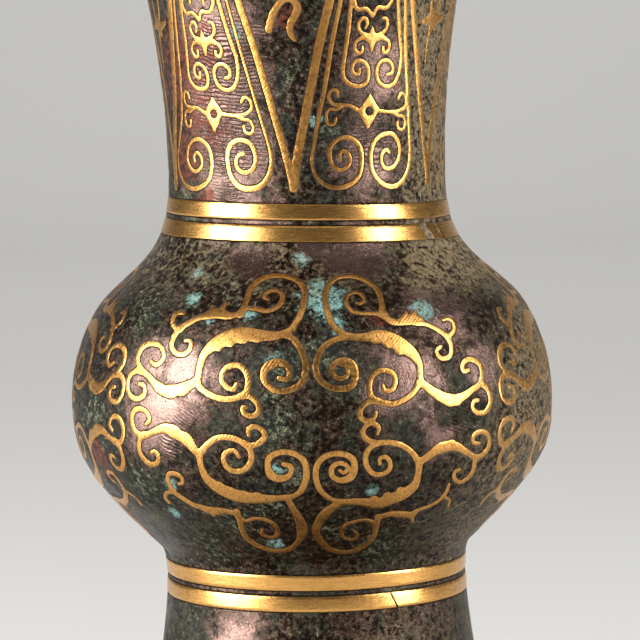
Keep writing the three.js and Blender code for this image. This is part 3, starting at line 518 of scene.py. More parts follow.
UPPER_RIGHT = [
    [(5.7, 13.7, 1.1), (7.5, 13.3, 1.2), (9.7, 13.2, 1.5), (11.5, 13.3, 2.1), (13.5, 12.7, 2.4),
     (15.6, 11.4, 2.2), (17.3, 9.9, 1.6), (18, 8.5, 1.15), (18, 7, 1), (17.7, 5.4, 1.1)],
    [(11.2, 13, 1.65), (11, 12.75, 1.45)],
    [(13.2, 12.2, 1.75), (13, 12, 1.55)],
    [(15.1, 11, 1.65), (14.9, 10.75, 1.45)],
    [(6.7, 13.4, .9), (4.5, 13.1, .9), (2.4, 12.1, .9), (1.2, 10.5, .95), (.7, 8.6, .95), (1.2, 6.7, .95),
     (2.7, 5.5, .95), (4.6, 5.1, .95), (6.2, 5.4, 1), (6.8, 6.5, 1.1), (6.8, 8.3, 1.3), (5.9, 9.3, 1.3),
     (4.7, 9.5, 1), (3.5, 8.9, .85), (3.2, 7.7, .8), (3.8, 7, .75), (4.7, 6.7, .7), (5.7, 7.2, .65),
     (5.7, 8.6, .6), (4.7, 8.9, .5)],
    [(17.6, 5.5, 1), (16.5, 4, .8), (14.9, 3, .8), (12.8, 2.4, .85), (10.7, 2.8, .9), (9.4, 3.6, .9),
     (9.1, 4.8, .85), (9.4, 6.3, .82), (10.5, 7.5, .8), (12, 7.7, .8), (13.2, 7.1, .8), (13.5, 6.1, .8),
     (13, 4.8, .78), (12.1, 4.4, .72), (11.4, 4.7, .66), (11.3, 5.4, .55)],
    [(10.4, 3, .85), (8.6, 2.8, .85), (7.5, 1.7, .82), (7.5, .6, .8), (8.4, 0, .75), (9.6, .3, .68),
     (10, 1.2, .55)],
    [(18, 5.4, 1.1), (19.3, 4.3, 1.3), (21.1, 3.1, 1.6), (23.4, 2.2, 1.8), (25.5, 2.6, 1.3), (27.6, 3.5, 1),
     (29.7, 4.5, 1), (30.4, 6, .95), (30.2, 7.5, .9), (28.5, 8.4, .85), (27, 8.1, .8), (26.3, 7.4, .75),
     (26.5, 6.6, .68), (27.6, 6.7, .55)],
    [(29.8, 4.4, 1), (31, 3.5, .95), (31.5, 2.1, .9), (31.2, .8, .88), (30.1, -.2, .85), (28.2, -.1, .8),
     (27.4, .9, .75), (27.8, 1.7, .68), (28.8, 1.8, .55)],
    [(13.2, 16.9, 1.1), (13.8, 19.3, .95), (13.9, 22.1, .85), (12.3, 24.2, .8), (9.5, 25.3, .8),
     (6.2, 25.1, .8), (3.9, 23.6, .85), (3, 20.9, .85), (3.2, 17.9, .85), (3.9, 15.5, .9), (5.7, 13.7, 1)],
    [(13.6, 17, 1), (11.6, 17.3, .7), (9.6, 17.4, .68), (7.8, 17.9, .66), (7, 19.3, .66), (7.1, 20.6, .64),
     (8.1, 21.6, .62), (9.6, 21.8, .6), (10.5, 21, .58), (10.5, 20, .55), (9.7, 19.4, .5), (8.9, 19.6, .45)],
    [(13.4, 17.4, 1.1), (13.9, 16.3, 1.2), (15.2, 15.5, 1.1), (17, 15.6, 1.4), (18.7, 15.8, 1.9),
     (19.8, 15.5, 1.7)],
    [(17.2, 16.1, 1.2), (18, 17.2, .45)],
    [(18.9, 16.1, 1.4), (19.5, 16.8, .9), (20, 17.4, .4)],
    [(19.8, 15.3, 1), (21.5, 14.7, .7), (23.1, 13.8, .75), (24.7, 12.4, .9), (25, 11.3, .85),
     (24.9, 10.3, .8), (24.3, 9.3, .75), (22.9, 8.9, .7), (21.9, 9.4, .65), (21.8, 10.3, .6),
     (22.9, 10.9, .5)],
    [(24.9, 12.4, .8), (26.4, 13.2, .75), (27, 14, .75), (27, 15, .7), (26.3, 15.5, .65), (25, 15.3, .5)],
    [(23, 2.3, 1.75), (22.85, 2.1, 1.55)],
    [(24.5, 2.2, 1.55), (24.5, 2, 1.35)],
]
LOWER_RIGHT = [
    [(17.5, -7.3, 1.2), (17.6, -9.5, 1.1), (17.3, -11.6, 1.6), (15.6, -13.1, 2.2), (13.5, -14, 2.3),
     (11.3, -14.7, 2.2), (8.9, -14.3, 1.8), (6.6, -14, 1.4), (4, -14.1, 1.2)],
    [(15.2, -12.6, 1.65), (14.95, -12.3, 1.45)],
    [(12.9, -13.5, 1.75), (12.75, -13.2, 1.55)],
    [(10.5, -14, 1.55), (10.45, -13.7, 1.45)],
    [(5.7, -14, .9), (3, -13.4, .9), (1, -11.3, .9), (.3, -8.9, .9), (.5, -6.9, .9), (1.5, -5.6, .9),
     (3.4, -5, .9), (5.4, -5.4, .95), (6.4, -6.4, 1), (6.4, -8.2, 1.2), (5.7, -9.3, 1.3), (4.3, -9.6, 1),
     (3, -8.8, .85), (2.9, -7.3, .8), (3.9, -6.6, .75), (4.9, -6.8, .7), (5.5, -7.6, .65), (4.8, -8.3, .6),
     (4.1, -7.8, .5)],
    [(17.4, -7.3, 1.1), (16, -5.5, .85), (13.9, -4.1, .85), (11.8, -3.6, .85), (10.2, -3.7, .85),
     (8.9, -4.4, .85), (8.3, -5.6, .85), (8.5, -7.2, .85), (9.7, -8.7, .82), (11.2, -8.9, .8),
     (12.4, -8.1, .76), (12.3, -6.7, .72), (11.4, -5.9, .66), (10.6, -6.2, .6), (10.7, -7.1, .5)],
    [(10.2, -3.6, .8), (8.5, -3, .8), (7.8, -1.9, .78), (8.2, -.9, .74), (9.4, -.4, .7), (10.4, -1.2, .62),
     (10.2, -2.2, .5)],
    [(17.6, -7.2, 1.1), (19, -6.4, 1.2), (20.7, -5.4, 1.5), (22.5, -5, 1.7), (24.4, -5.3, 1.4),
     (26.7, -6.5, 1), (28.8, -7.5, .95), (30.7, -6.9, .9), (31.4, -5.4, .88), (30.7, -3.8, .84),
     (28.8, -3.3, .8), (27.6, -3.9, .74), (27.8, -4.9, .66), (29.1, -5.2, .5)],
    [(28.6, -7.5, .95), (28.9, -9.7, .85), (28.3, -11.1, .8), (26.7, -11.8, .76), (25, -10.7, .7),
     (24.8, -9.6, .62), (25.8, -9.3, .5)],
    [(4.5, -14, 1.2), (2.2, -16.1, 1.7), (.7, -18.7, 1.5), (.1, -20.7, 1.3), (1, -23.2, 1.2),
     (3.4, -25.7, 1), (6.8, -26.6, .95), (10.1, -25.8, .95), (12.3, -23.2, .95), (12.2, -20.2, .95),
     (12, -17.7, 1)],
    [(12.2, -19.8, .95), (10.1, -18.5, .75), (7.7, -18.7, .72), (6, -19.4, .7), (5.3, -21, .68),
     (6, -22.7, .64), (7.8, -23.3, .6), (8.8, -22.3, .55), (7.8, -20.9, .45)],
    [(12, -17.9, 1.1), (14.3, -17.4, 1.2), (17, -17.8, 1.6), (18.9, -18, 1.5), (19.7, -17.2, .9),
     (22.3, -16.3, .75), (24.2, -14.7, .72), (24.5, -13.1, .7), (24.4, -11.9, .5)],
    [(24.2, -14.5, .7), (26.2, -15.5, .6), (26.9, -17.2, .4)],
    [(18.9, -18.2, 1.2), (20, -19.8, .5)],
    [(21, -5.2, 1.55), (21.15, -5, 1.35)],
    [(23.2, -5, 1.65), (23.3, -4.8, 1.45)],
]
# The other motifs repeat the left half, with its ends moved by (distance out, inward, down)
BACK_WARPS = {
    ("left", "upper"): ((0, 0, 0), (16, 0.2, 0.8), (34, 1.0, 2.7)),
    ("left", "lower"): ((0, 0, 0), (16, -0.3, 1.2), (34, -1.4, 4.0)),
    ("right", "upper"): ((0, 0, 0), (16, 0.3, 0.4), (34, 1.3, 1.0)),
    ("right", "lower"): ((0, 0, 0), (16, -0.2, 0.7), (34, -0.7, 1.9)),
}
# Degrees that the front motif and each of the others take up, and the middles of those on the right and back
FRONT_PITCH = 96.0
BACK_PITCH = 88.0
RIGHT_MOTIF = (FRONT_PITCH + BACK_PITCH) / 2
BACK_MOTIF = 180.0
# How far the edge of a cut line wanders
LINE_WANDER = 0.014


def on_neck(points, middle, pitch, lean=NO_LEAN):
    """Drawn points of a blade turned to lengths on the skin, from the front's middle line."""
    points = np.array(points, float)
    x = points[:, 0] + np.interp(points[:, 1], *np.array(lean).T)
    z = NECK_ZERO + points[:, 1]
    turn = np.radians(middle + x * pitch / WIDE)
    return np.column_stack([turn * radius_at(z), arc_at(z), points[:, 2:]])


def on_belly(points):
    """Drawn points of a belly motif turned to lengths on the skin."""
    x, y, width = np.array(points, float).T
    arc = BELLY_ARC + y
    return np.column_stack([x / BELLY_WIDE[0] * radius_at(height_at(arc)), arc, width])


def neck_figure(low, high, reach):
    """An empty drawing for the neck between two heights, as wide as its reach to each side."""
    return Figure(-reach, reach, arc_at(low), arc_at(high))


def blade_figure(seed, leans=False):
    """Gold inside a blade, drawn about the blade's own middle."""
    lean = BLADE_LEAN if leans else NO_LEAN
    figure = neck_figure(121, 190, 16)
    for index, stroke in enumerate(BLADE_STROKES):
        if leans and index < len(LEFT_BLADE_LINES):
            points = on_neck(LEFT_BLADE_LINES[index], 0, WIDE)
        else:
            points = on_neck(stroke, 0, WIDE, lean)
        figure.add(smooth(points))
    for corners in (LOZENGE, STAR, TIP_LOZENGE):
        figure.add_area(on_neck(corners, 0, WIDE, lean)[:, :2])
    figure.cut(*on_neck([LOZENGE_EYE], 0, WIDE, lean)[0, :2], LOZENGE_EYE_RADIUS)
    figure.roughen(LINE_WANDER, seed)
    return figure


def vee_figure(pitches, leans, pendant, seed):
    """A V between two blades with its pendant, drawn about the V's middle."""
    figure = neck_figure(121, 196, 24)
    strokes = (RIGHT_EDGE_STROKE, LEFT_EDGE_STROKE)
    for side, pitch, leaning, width in zip((1, -1), pitches, leans, strokes):
        edge = [(side * x, y, width) for y, x in BLADE_EDGE]
        lean = EDGE_LEAN if leaning else NO_LEAN
        figure.add(smooth(on_neck(edge, -side * pitch / 2, pitch, lean)))
    for stroke in pendant:
        figure.add(smooth(on_neck(stroke, 0, WIDE)))
    figure.roughen(LINE_WANDER, seed)
    return figure


def warped(points, warp):
    """Points of the left half with the ends moved in and down."""
    out, inward, down = np.array(warp).T
    x, y, width = np.array(points, float).T
    return np.column_stack([x + np.interp(-x, out, inward), y - np.interp(-x, out, down), width])


def motif(strokes, seed):
    """A belly motif from strokes of [x, y, width] on the skin."""
    figure = Figure(-36, 36, BELLY_ARC - 30, BELLY_ARC + 29)
    for stroke in strokes:
        figure.add(smooth(stroke))
    figure.roughen(LINE_WANDER, seed)
    return figure


def front_motif(seed):
    strokes = UPPER_LEFT + LOWER_LEFT + UPPER_RIGHT + LOWER_RIGHT
    return motif([on_belly(stroke) for stroke in strokes], seed)


def back_motif(seed):
    """The left half and its mirror image, each end moved in its own way."""
    strokes = []
    for (side, tier), warp in BACK_WARPS.items():
        mirror = (1, 1, 1) if side == "left" else (-1, 1, 1)
        for stroke in UPPER_LEFT if tier == "upper" else LOWER_LEFT:
            strokes.append(on_belly(warped(stroke, warp)) * mirror)
    return motif(strokes, seed)


class Laid:
    """A figure with the places round the vase where it lies and the nodes that it stands for."""

    def __init__(self, name, figure, middle, nodes, spread=1, copies=1, pitch=0):
        self.name, self.figure, self.middle, self.nodes = name, figure, middle, nodes
        self.spread, self.copies, self.pitch = spread, copies, pitch

    def distance(self, theta, z):
        """Distance from places on the skin to this gold."""
        nearest = np.full(theta.shape, FAR)
        for k in range(self.copies):
            turn = (theta - self.middle - k * self.pitch + 180) % 360 - 180
            x = np.radians(turn) / self.spread * radius_at(z)
            nearest = np.minimum(nearest, self.figure.sample(x, arc_at(z)))
        return nearest


def blade_nodes(*numbers):
    """Names of each blade's line and lozenge."""
    return [f"neck_{kind}_{k}" for k in numbers for kind in ("blade_line", "lozenge")]


def motif_nodes(*numbers):
    """Names of the four quarters of each motif."""
    return [f"belly_scroll_{k}_{tier}_{hand}" for k in numbers
            for tier in ("upper", "lower") for hand in ("left", "right")]


def vee(name, middle, pitches, leans, pendant, seed, numbers, copies=1):
    """The V strips between two blades, and the pendant in them."""
    nodes = [f"neck_chevron_{k}" for k in numbers]
    return Laid(name, vee_figure(pitches, leans, pendant, seed), middle, nodes, 1, copies, NARROW)


NECK_GOLD = [
    Laid("blade_front_left", blade_figure(3.1, True), LEFT_BLADE, blade_nodes(1)),
    Laid("blade_front_right", blade_figure(5.7), RIGHT_BLADE, blade_nodes(2)),
    Laid("blades_back", blade_figure(8.3), BACK_BLADE, blade_nodes(3, 4, 5, 6), NARROW / WIDE, 4, NARROW),
    vee("vee_front", LEFT_BLADE + WIDE / 2, (WIDE, WIDE), (True, False), ARCH_PENDANT, 1.3, [1]),
    vee("vee_right", RIGHT_BLADE + WIDE / 2, (WIDE, NARROW), (False, False), FLOWER_PENDANT, 2.6, [2]),
    vee("vees_back", BACK_BLADE + NARROW / 2, (NARROW, NARROW), (False, False), ARCH_PENDANT, 4.4,
        [3, 4, 5], 3),
    vee("vee_left", LEFT_BLADE - WIDE / 2, (NARROW, WIDE), (False, True), FLOWER_PENDANT, 6.2, [6]),
]
BACK_SPREAD = BACK_PITCH / FRONT_PITCH
BELLY_GOLD = [
    Laid("motif_front", front_motif(2.2), 0, motif_nodes(1)),
    Laid("motif_right", back_motif(7.5), RIGHT_MOTIF, motif_nodes(2), BACK_SPREAD),
    Laid("motifs_back", back_motif(8.5), BACK_MOTIF, motif_nodes(3, 4), BACK_SPREAD, 2, BACK_PITCH),
]


# Node trees

class Wire:
    """A node's output. Arithmetic on it adds Math nodes to its tree."""

    def __init__(self, board, socket):
        self.board, self.socket = board, socket

    def math(self, operation, *values):
        return self.board.node("ShaderNodeMath", {"operation": operation}, dict(enumerate(values)))

    def __add__(self, other):
        return self.math("ADD", self, other)

    __radd__ = __add__

    def __sub__(self, other):
        return self.math("SUBTRACT", self, other)

    def __rsub__(self, other):
        return self.math("SUBTRACT", other, self)

    def __mul__(self, other):
        return self.math("MULTIPLY", self, other)

    __rmul__ = __mul__

    def __truediv__(self, other):
        return self.math("DIVIDE", self, other)

    def __neg__(self):
        return self.math("MULTIPLY", self, -1)

    def between(self, low, high, start=0.0, end=1.0):
        """Eases from start to end while this goes from low to high."""
        return self.board.node("ShaderNodeMapRange", {"interpolation_type": "SMOOTHSTEP"}, {
            "Value": self, "From Min": low, "From Max": high, "To Min": start, "To Max": end})

    def most(self, other):
        return self.math("MAXIMUM", self, other)

    def floor(self):
        return self.math("FLOOR", self)

    def modulo(self, other):
        return self.math("FLOORED_MODULO", self, other)

    def sine(self):
        return self.math("SINE", self)

    def cosine(self):
        return self.math("COSINE", self)

    def part(self, axis):
        """One of a vector's three parts."""
        return self.board.node("ShaderNodeSeparateXYZ", values={"Vector": self}, output=axis)


class Board:
    """A node tree that is wired up from the script."""

    def __init__(self, tree):
        self.tree = tree

    def node(self, kind, settings=None, values=None, output=0):
        """Adds a node: first its settings, then a value or a link for each socket."""
        made = self.tree.nodes.new(kind)
        for name, value in (settings or {}).items():
            setattr(made, name, value)
        for key, value in (values or {}).items():
            self.feed(made.inputs[key], value)
        return Wire(self, made.outputs[output])

    def feed(self, socket, value):
        if isinstance(value, Wire):
            self.tree.links.new(value.socket, socket)
        elif hasattr(socket, "default_value"):
            if socket.type == "RGBA" and len(value) == 3:
                value = (*value, 1)
            socket.default_value = value


# Geometry trees

class Shape(Board):
    """A geometry tree with named inputs."""

    def __init__(self, name, inputs):
        tree = bpy.data.node_groups.new(name, "GeometryNodeTree")
        super().__init__(tree)
        tree.interface.new_socket("Geometry", in_out="INPUT", socket_type="NodeSocketGeometry")
        tree.interface.new_socket("Geometry", in_out="OUTPUT", socket_type="NodeSocketGeometry")
        for label, kind in inputs:
            tree.interface.new_socket(label, in_out="INPUT", socket_type=f"NodeSocket{kind}")
        self.entry = tree.nodes.new("NodeGroupInput")
        self.exit = tree.nodes.new("NodeGroupOutput")

    def input(self, label):
        return Wire(self, self.entry.outputs[label])

    def finish(self, geometry):
        """Ends the tree in realised instances with the piece's material."""
        whole = self.node("GeometryNodeRealizeInstances", values={"Geometry": geometry})
        dressed = self.node("GeometryNodeSetMaterial", values={
            "Geometry": whole, "Material": self.input("Material")})
        self.feed(self.exit.inputs["Geometry"], dressed)
        return self.tree


def turned_tree():
    """Turns a profile of [radius, 0, height] points about the axis, between two angles."""
    shape = Shape("turned_bronze", [("Segments", "Int"), ("From", "Float"), ("To", "Float"),
                                    ("Material", "Material")])
    profile = shape.input("Geometry")
    count = shape.node("GeometryNodeAttributeDomainSize", {"component": "MESH"}, {"Geometry": profile})
    segments = shape.input("Segments")
    grid = shape.node("GeometryNodeMeshGrid", values={
        "Size X": 1.0, "Size Y": 1.0, "Vertices X": segments + 1, "Vertices Y": count + 1})
    place = shape.node("GeometryNodeInputPosition")
    across, along = place.part("X") + 0.5, place.part("Y") + 0.5
    index = (along * count + 0.5).floor().modulo(count)
    start, end = shape.input("From"), shape.input("To")
    angle = (start + (end - start) * across) * math.radians(1)
    point = shape.node("GeometryNodeSampleIndex", {"data_type": "FLOAT_VECTOR", "domain": "POINT"},
                       {"Geometry": profile, "Value": place, "Index": index})
    radius = point.part("X")
    turned = shape.node("ShaderNodeCombineXYZ", values={
        "X": radius * angle.sine(), "Y": -(radius * angle.cosine()), "Z": point.part("Z")})
    skin = shape.node("GeometryNodeSetPosition", values={"Geometry": grid, "Position": turned})
    closed = shape.node("GeometryNodeMergeByDistance", values={"Geometry": skin, "Distance": 1e-7})
    return shape.finish(closed)


OUTLINE_STEP = 0.25
SKIN_DEPTH = 1.2


def laid_tree():
    """Lays a flat figure on the skin and repeats it round the axis.

    The figure's x is the length along the skin from its middle, y the length along the outline
    from its foot, and z the lift. The outline is a mesh of [radius, 0, height] points.
    """
    shape = Shape("laid_gold", [("Outline", "Object"), ("Middle", "Float"), ("Spread", "Float"),
                                ("Copies", "Int"), ("Pitch", "Float"), ("Material", "Material")])
    outline = shape.node("GeometryNodeObjectInfo", {"transform_space": "ORIGINAL"},
                         {"Object": shape.input("Outline")}, output="Geometry")
    place = shape.node("GeometryNodeInputPosition")
    across, along, lift = (place.part(axis) for axis in "XYZ")
    station = along / (OUTLINE_STEP * MM)
    low = station.floor()
    share = station - low

    def outline_point(index):
        point = shape.node("GeometryNodeSampleIndex",
                           {"data_type": "FLOAT_VECTOR", "domain": "POINT", "clamp": True},
                           {"Geometry": outline, "Value": place, "Index": index})
        return point.part("X"), point.part("Z")

    (r0, z0), (r1, z1) = outline_point(low), outline_point(low + 1)
    radius, height = r0 + (r1 - r0) * share, z0 + (z1 - z0) * share
    rise, run = (z1 - z0) / (OUTLINE_STEP * MM), (r1 - r0) / (OUTLINE_STEP * MM)
    angle = across / radius * shape.input("Spread") + shape.input("Middle") * math.radians(1)
    reach = radius + lift * rise
    laid = shape.node("ShaderNodeCombineXYZ", values={
        "X": reach * angle.sine(), "Y": -(reach * angle.cosine()), "Z": height - lift * run})
    skin = shape.node("GeometryNodeSetPosition", values={
        "Geometry": shape.input("Geometry"), "Position": laid})
    row = shape.node("GeometryNodePoints", values={"Count": shape.input("Copies"), "Position": (0, 0, 0)})
    turn = shape.node("ShaderNodeCombineXYZ", values={
        "Z": shape.node("GeometryNodeInputIndex") * shape.input("Pitch") * math.radians(1)})
    placed = shape.node("GeometryNodeInstanceOnPoints", values={
        "Points": row, "Instance": skin, "Rotation": turn})
    return shape.finish(placed)


def plain_mesh(name, vertices, faces, edges=()):
    """A mesh from millimetres."""
    mesh = bpy.data.meshes.new(name)
    mesh.from_pydata([tuple(v) for v in np.asarray(vertices) * MM], list(edges), faces)
    return mesh


def grown(name, mesh, tree, inputs):
    """A new object whose mesh is what a tree makes of a starting mesh."""
    seed = bpy.data.objects.new(f"{name}_seed", mesh)
    bpy.context.scene.collection.objects.link(seed)
    modifier = seed.modifiers.new("shape", "NODES")
    modifier.node_group = tree
    for label, value in inputs.items():
        modifier[tree.interface.items_tree[label].identifier] = value
    bpy.context.view_layer.update()
    evaluated = seed.evaluated_get(bpy.context.evaluated_depsgraph_get())
    result = bpy.data.meshes.new_from_object(evaluated)
    result.name = name
    piece = bpy.data.objects.new(name, result)
    bpy.context.scene.collection.objects.link(piece)
    bpy.data.objects.remove(seed)
    return piece


def skin_places(mesh):
    """Angle, height and radius of a mesh's points."""
    flat = np.empty(len(mesh.vertices) * 3)
    mesh.vertices.foreach_get("co", flat)
    x, y, z = flat.reshape(-1, 3).T / MM
    return np.degrees(np.arctan2(x, -y)), z, np.hypot(x, y)


def place_points(mesh, theta, z, radius):
    """Moves a mesh's points to angles, heights and radii."""
    turn = np.radians(theta)
    points = np.column_stack([radius * np.sin(turn), -radius * np.cos(turn), z]) * MM
    mesh.vertices.foreach_set("co", points.ravel())
    mesh.update()


def settle(piece, tilted):
    """Moves a piece with the skin's slow unevenness and, where it is tilted, with the rings' drop."""
    theta, z, radius = skin_places(piece.data)
    off = radius - radius_at(z)
    lower = z - tilt_at(z) * np.sin(np.radians(theta)) if tilted else z
    waves = np.where(off > -SKIN_DEPTH, relief(theta, lower), 0)
    outward, upward = slope_at(lower)
    place_points(piece.data, theta, lower + waves * upward, radius_at(lower) + off + waves * outward)


def smooth_shade(piece, degrees=40):
    """Smooth shading, but for edges sharper than an angle."""
    piece.data.polygons.foreach_set("use_smooth", [True] * len(piece.data.polygons))
    piece.data.set_sharp_from_angle(angle=math.radians(degrees))


def close_ends(mesh):
    """Fills the ends of a piece that doesn't go all the way round."""
    work = bmesh.new()
    work.from_mesh(mesh)
    bmesh.ops.holes_fill(work, edges=[edge for edge in work.edges if edge.is_boundary])
    bmesh.ops.recalc_face_normals(work, faces=work.faces)
    work.to_mesh(mesh)
    work.free()


def hand_in(piece, nodes):
    """Puts a finished piece on the body in place of its nodes."""
    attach(piece, "root")
    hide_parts(*nodes)


# Profiles, as (radius, height) points that climb on the outside

CHANNEL_DEPTH = 0.5
CHANNEL_GAP = 0.13
CHANNEL_CLEAR = 0.12
HALF_CHANNEL = RING_WIDTH / 2 + CHANNEL_GAP

# A channel's section, as (height from its middle, depth)
CHANNEL = [(-HALF_CHANNEL - 0.1, 0), (-HALF_CHANNEL, 0.04), (-HALF_CHANNEL, CHANNEL_DEPTH),
           (HALF_CHANNEL, CHANNEL_DEPTH), (HALF_CHANNEL, 0.04), (HALF_CHANNEL + 0.1, 0)]
# The foot's rim, as (distance in from the foot's radius, height)
FOOT_RIM = [(4, 0), (0.4, 0), (0.1, 0.12), (0, 0.45), (0, 4), (0, 7.4), (0.12, 7.8), (0.4, 8.0), (1.05, 8.05)]
# The mouth's lip, as (distance in from the mouth's radius, distance below the vase's height)
LIP = [(0, 2.25), (0, 0.7), (0.1, 0.3), (0.4, 0.05), (0.8, 0), (1.2, 0.1), (1.6, 0.35), (2.4, 0.9)]


def outer_points(low, high, step):
    """Points of the skin between two heights, with the rings' channels let in."""
    arcs = np.arange(arc_at(low), arc_at(high), step)
    heights = height_at(np.append(arcs, arc_at(high)))
    for z in FOOT_RINGS + NECK_RINGS:
        heights = heights[np.abs(heights - z) > HALF_CHANNEL + CHANNEL_CLEAR]
    points = [(float(radius_at(z)), float(z)) for z in heights]
    for z in FOOT_RINGS + NECK_RINGS:
        for edge, depth in CHANNEL:
            if low < z + edge < high:
                points.append((float(radius_at(z + edge)) - depth, z + edge))
    return ordered_channels(sorted(points, key=lambda point: point[1]))


def ordered_channels(points):
    """Keeps each channel's wall in climbing order where two points share a height."""
    result = []
    for index, point in enumerate(points):
        result.append(point)
        if index and abs(result[-2][1] - point[1]) < 1e-6:
            middle = min((abs(point[1] - z), z) for z in FOOT_RINGS + NECK_RINGS)[1]
            result[-2:] = sorted(result[-2:], key=lambda p: p[0], reverse=point[1] < middle)
    return result


def inner_points(curve, steps):
    """Points of the hollow behind one curve of the outline, a wall's thickness in."""
    keep = np.linspace(0, len(curve) - 1, steps + 1).astype(int)
    run = np.gradient(curve, axis=0)
    inward = np.column_stack([-run[:, 1], run[:, 0]]) / np.hypot(*run.T)[:, None] * WALL
    return [tuple(point) for point in (curve + inward)[keep]]


def descending(points):
    return sorted(points, key=lambda point: -point[1])


# Finishes. A grain's scale counts its lumps in a metre.

def board_of(name):
    """A new material's tree with its shader, and the surface's own place."""
    material = bpy.data.materials.new(name)
    material.use_nodes = True
    board = Board(material.node_tree)
    shader = next(node for node in board.tree.nodes if node.type == "BSDF_PRINCIPLED")
    place = board.node("ShaderNodeTexCoord", output="Object")
    return material, board, shader, place


def grain(board, place, scale, detail=3.0, roughness=0.6, seed=0.0, stretch=(1, 1, 1)):
    """Cloudy noise round 0.5, moved by a seed and drawn out where it is stretched."""
    moved = board.node("ShaderNodeMapping", values={
        "Vector": place, "Location": (seed, seed, seed), "Scale": stretch})
    return board.node("ShaderNodeTexNoise", values={
        "Vector": moved, "Scale": scale, "Detail": detail, "Roughness": roughness})


def pits(board, place, scale, seed):
    """Distance from scattered points, for round pits."""
    moved = board.node("ShaderNodeMapping", values={"Vector": place, "Location": (seed, seed, seed)})
    return board.node("ShaderNodeTexVoronoi", {"feature": "F1"}, {"Vector": moved, "Scale": scale})


def blend(board, share, first, second):
    """A colour between two others."""
    return board.node("ShaderNodeMix", {"data_type": "RGBA"}, {0: share, 6: first, 7: second}, output=2)


def emboss(board, shader, strength, height_mm):
    """Lets a height in millimetres shade the surface."""
    bump = board.node("ShaderNodeBump", values={"Strength": strength, "Distance": MM, "Height": height_mm})
    board.feed(shader.inputs["Normal"], bump)


def near_spots(board, place, spots, wander):
    """How much a place lies in any of several spots of (angle, height, size)."""
    mask = None
    for theta, z, size in spots:
        turn, radius = math.radians(theta), float(radius_at(z))
        centre = (radius * math.sin(turn) * MM, -radius * math.cos(turn) * MM, z * MM)
        away = board.node("ShaderNodeVectorMath", {"operation": "DISTANCE"},
                          {0: place, 1: centre}, output="Value")
        here = (away + wander * (size * MM)).between(size * MM, size * 0.35 * MM)
        mask = here if mask is None else mask.most(here)
    return mask


# Where the patina has its spots, as (angle, height, size)

# Blue-green crust, thick and round
TURQUOISE_SPOTS = [
    (3, 106, 4.2), (7, 102, 1.7), (-3, 112, 1.6), (31, 104, 2.6), (-35, 106, 1.8), (-39, 110, 1.6),
    (-27, 103, 1.2), (-37, 77, 1.6), (-41, 72, 1.5), (-13, 67, 1.7), (-16, 104, 1.4), (14, 76, 1.2),
    (-9, 97, 1.6), (-8, 80, 1.4), (150, 95, 5), (205, 80, 4), (120, 70, 4), (250, 108, 5), (-26, 148, 1.4),
    (4, 134, 1.3), (170, 150, 6),
]
# Denser green grains
CRUST_SPOTS = [
    (-6, 96, 4), (-8, 87, 5), (2, 98, 4), (-12, 74, 6), (6, 70, 5), (-24, 72, 6), (-36, 66, 7), (-46, 76, 7),
    (-62, 86, 9), (-20, 108, 5), (4, 106, 6), (20, 66, 6), (-6, 140, 6), (10, 132, 4), (-50, 104, 7),
    (150, 90, 16), (215, 80, 14), (95, 140, 8), (180, 40, 20), (60, 30, 12),
]
# Pale green bloom
PALE_SPOTS = [
    (-34, 109, 1.9), (2, 108, 2.4), (-4, 79, 2.6), (-9, 92, 2.0), (-22, 70, 2.0), (8, 74, 1.6), (-52, 70, 3),
    (175, 92, 4), (30, 58, 3), (-60, 121, 3), (-54, 118, 2),
]
# Red oxide
RED_SPOTS = [
    (-56, 142, 10), (-46, 134, 7), (-42, 146, 6), (-58, 128, 6), (-46, 121, 3), (-62, 80, 4), (-7, 150, 3),
    (38, 140, 2), (-72, 68, 5), (18, 103, 2), (190, 125, 10), (60, 84, 4), (120, 140, 8),
]
# Bare bronze that kept its polish
SMOOTH_SPOTS = [
    (-38, 88, 10), (-30, 95, 7), (-42, 97, 6), (36, 104, 8), (44, 94, 6), (30, 83, 4), (22, 93, 8),
    (2, 114, 4), (17, 112, 8), (16, 92, 5), (26, 128, 8), (-36, 149, 12), (-35, 140, 12), (-33, 131, 12),
    (-31, 123, 10), (30, 142, 9), (-22, 112, 5), (-18, 118, 6), (200, 100, 12), (110, 96, 9), (-30, 50, 7),
]
# Fine polishing lines
SCRATCH_SPOTS = [
    (-31, 142, 11), (-34, 131, 8), (-33, 121, 5), (-30, 84, 6), (38, 88, 5), (-12, 146, 4), (26, 130, 5),
]
# Gold that has lost its shine
WORN_SPOTS = [
    (9, 119, 8), (8, 128, 8), (7, 137, 8), (6, 147, 8), (16, 120, 6), (0, 71, 13), (4, 64, 12), (14, 74, 6),
]
BLACK = (0.005, 0.004, 0.003)
# Painted shade for the empty seam along the gold
SEAM_SHADE_BLACK = (0.012, 0.007, 0.005)


def side_earth(right, height, cloud, crumb, speck):
    """Share of earth on the right of the neck and the shoulder, and on the underside of the belly."""
    neck = ((right + (cloud - 0.5) * 0.012).between(0.014, 0.0165) * height.between(0.103, 0.109)
            * height.between(0.168, 0.15))
    shoulder = ((right + (cloud - 0.5) * 0.02 - height * 0.1).between(0.018, 0.024)
                * height.between(0.112, 0.106))
    under = ((right - height * 0.5 + (cloud - 0.5) * 0.03).between(-0.022, -0.005)
             * height.between(0.09, 0.08) * (height.between(0.056, 0.066) * 0.8 + 0.2)
             * (crumb + speck).between(0.92, 1.0))
    return neck.most(shoulder.most(under) * 0.85) * (crumb * 0.5 + speck * 0.5).between(0.43, 0.5)


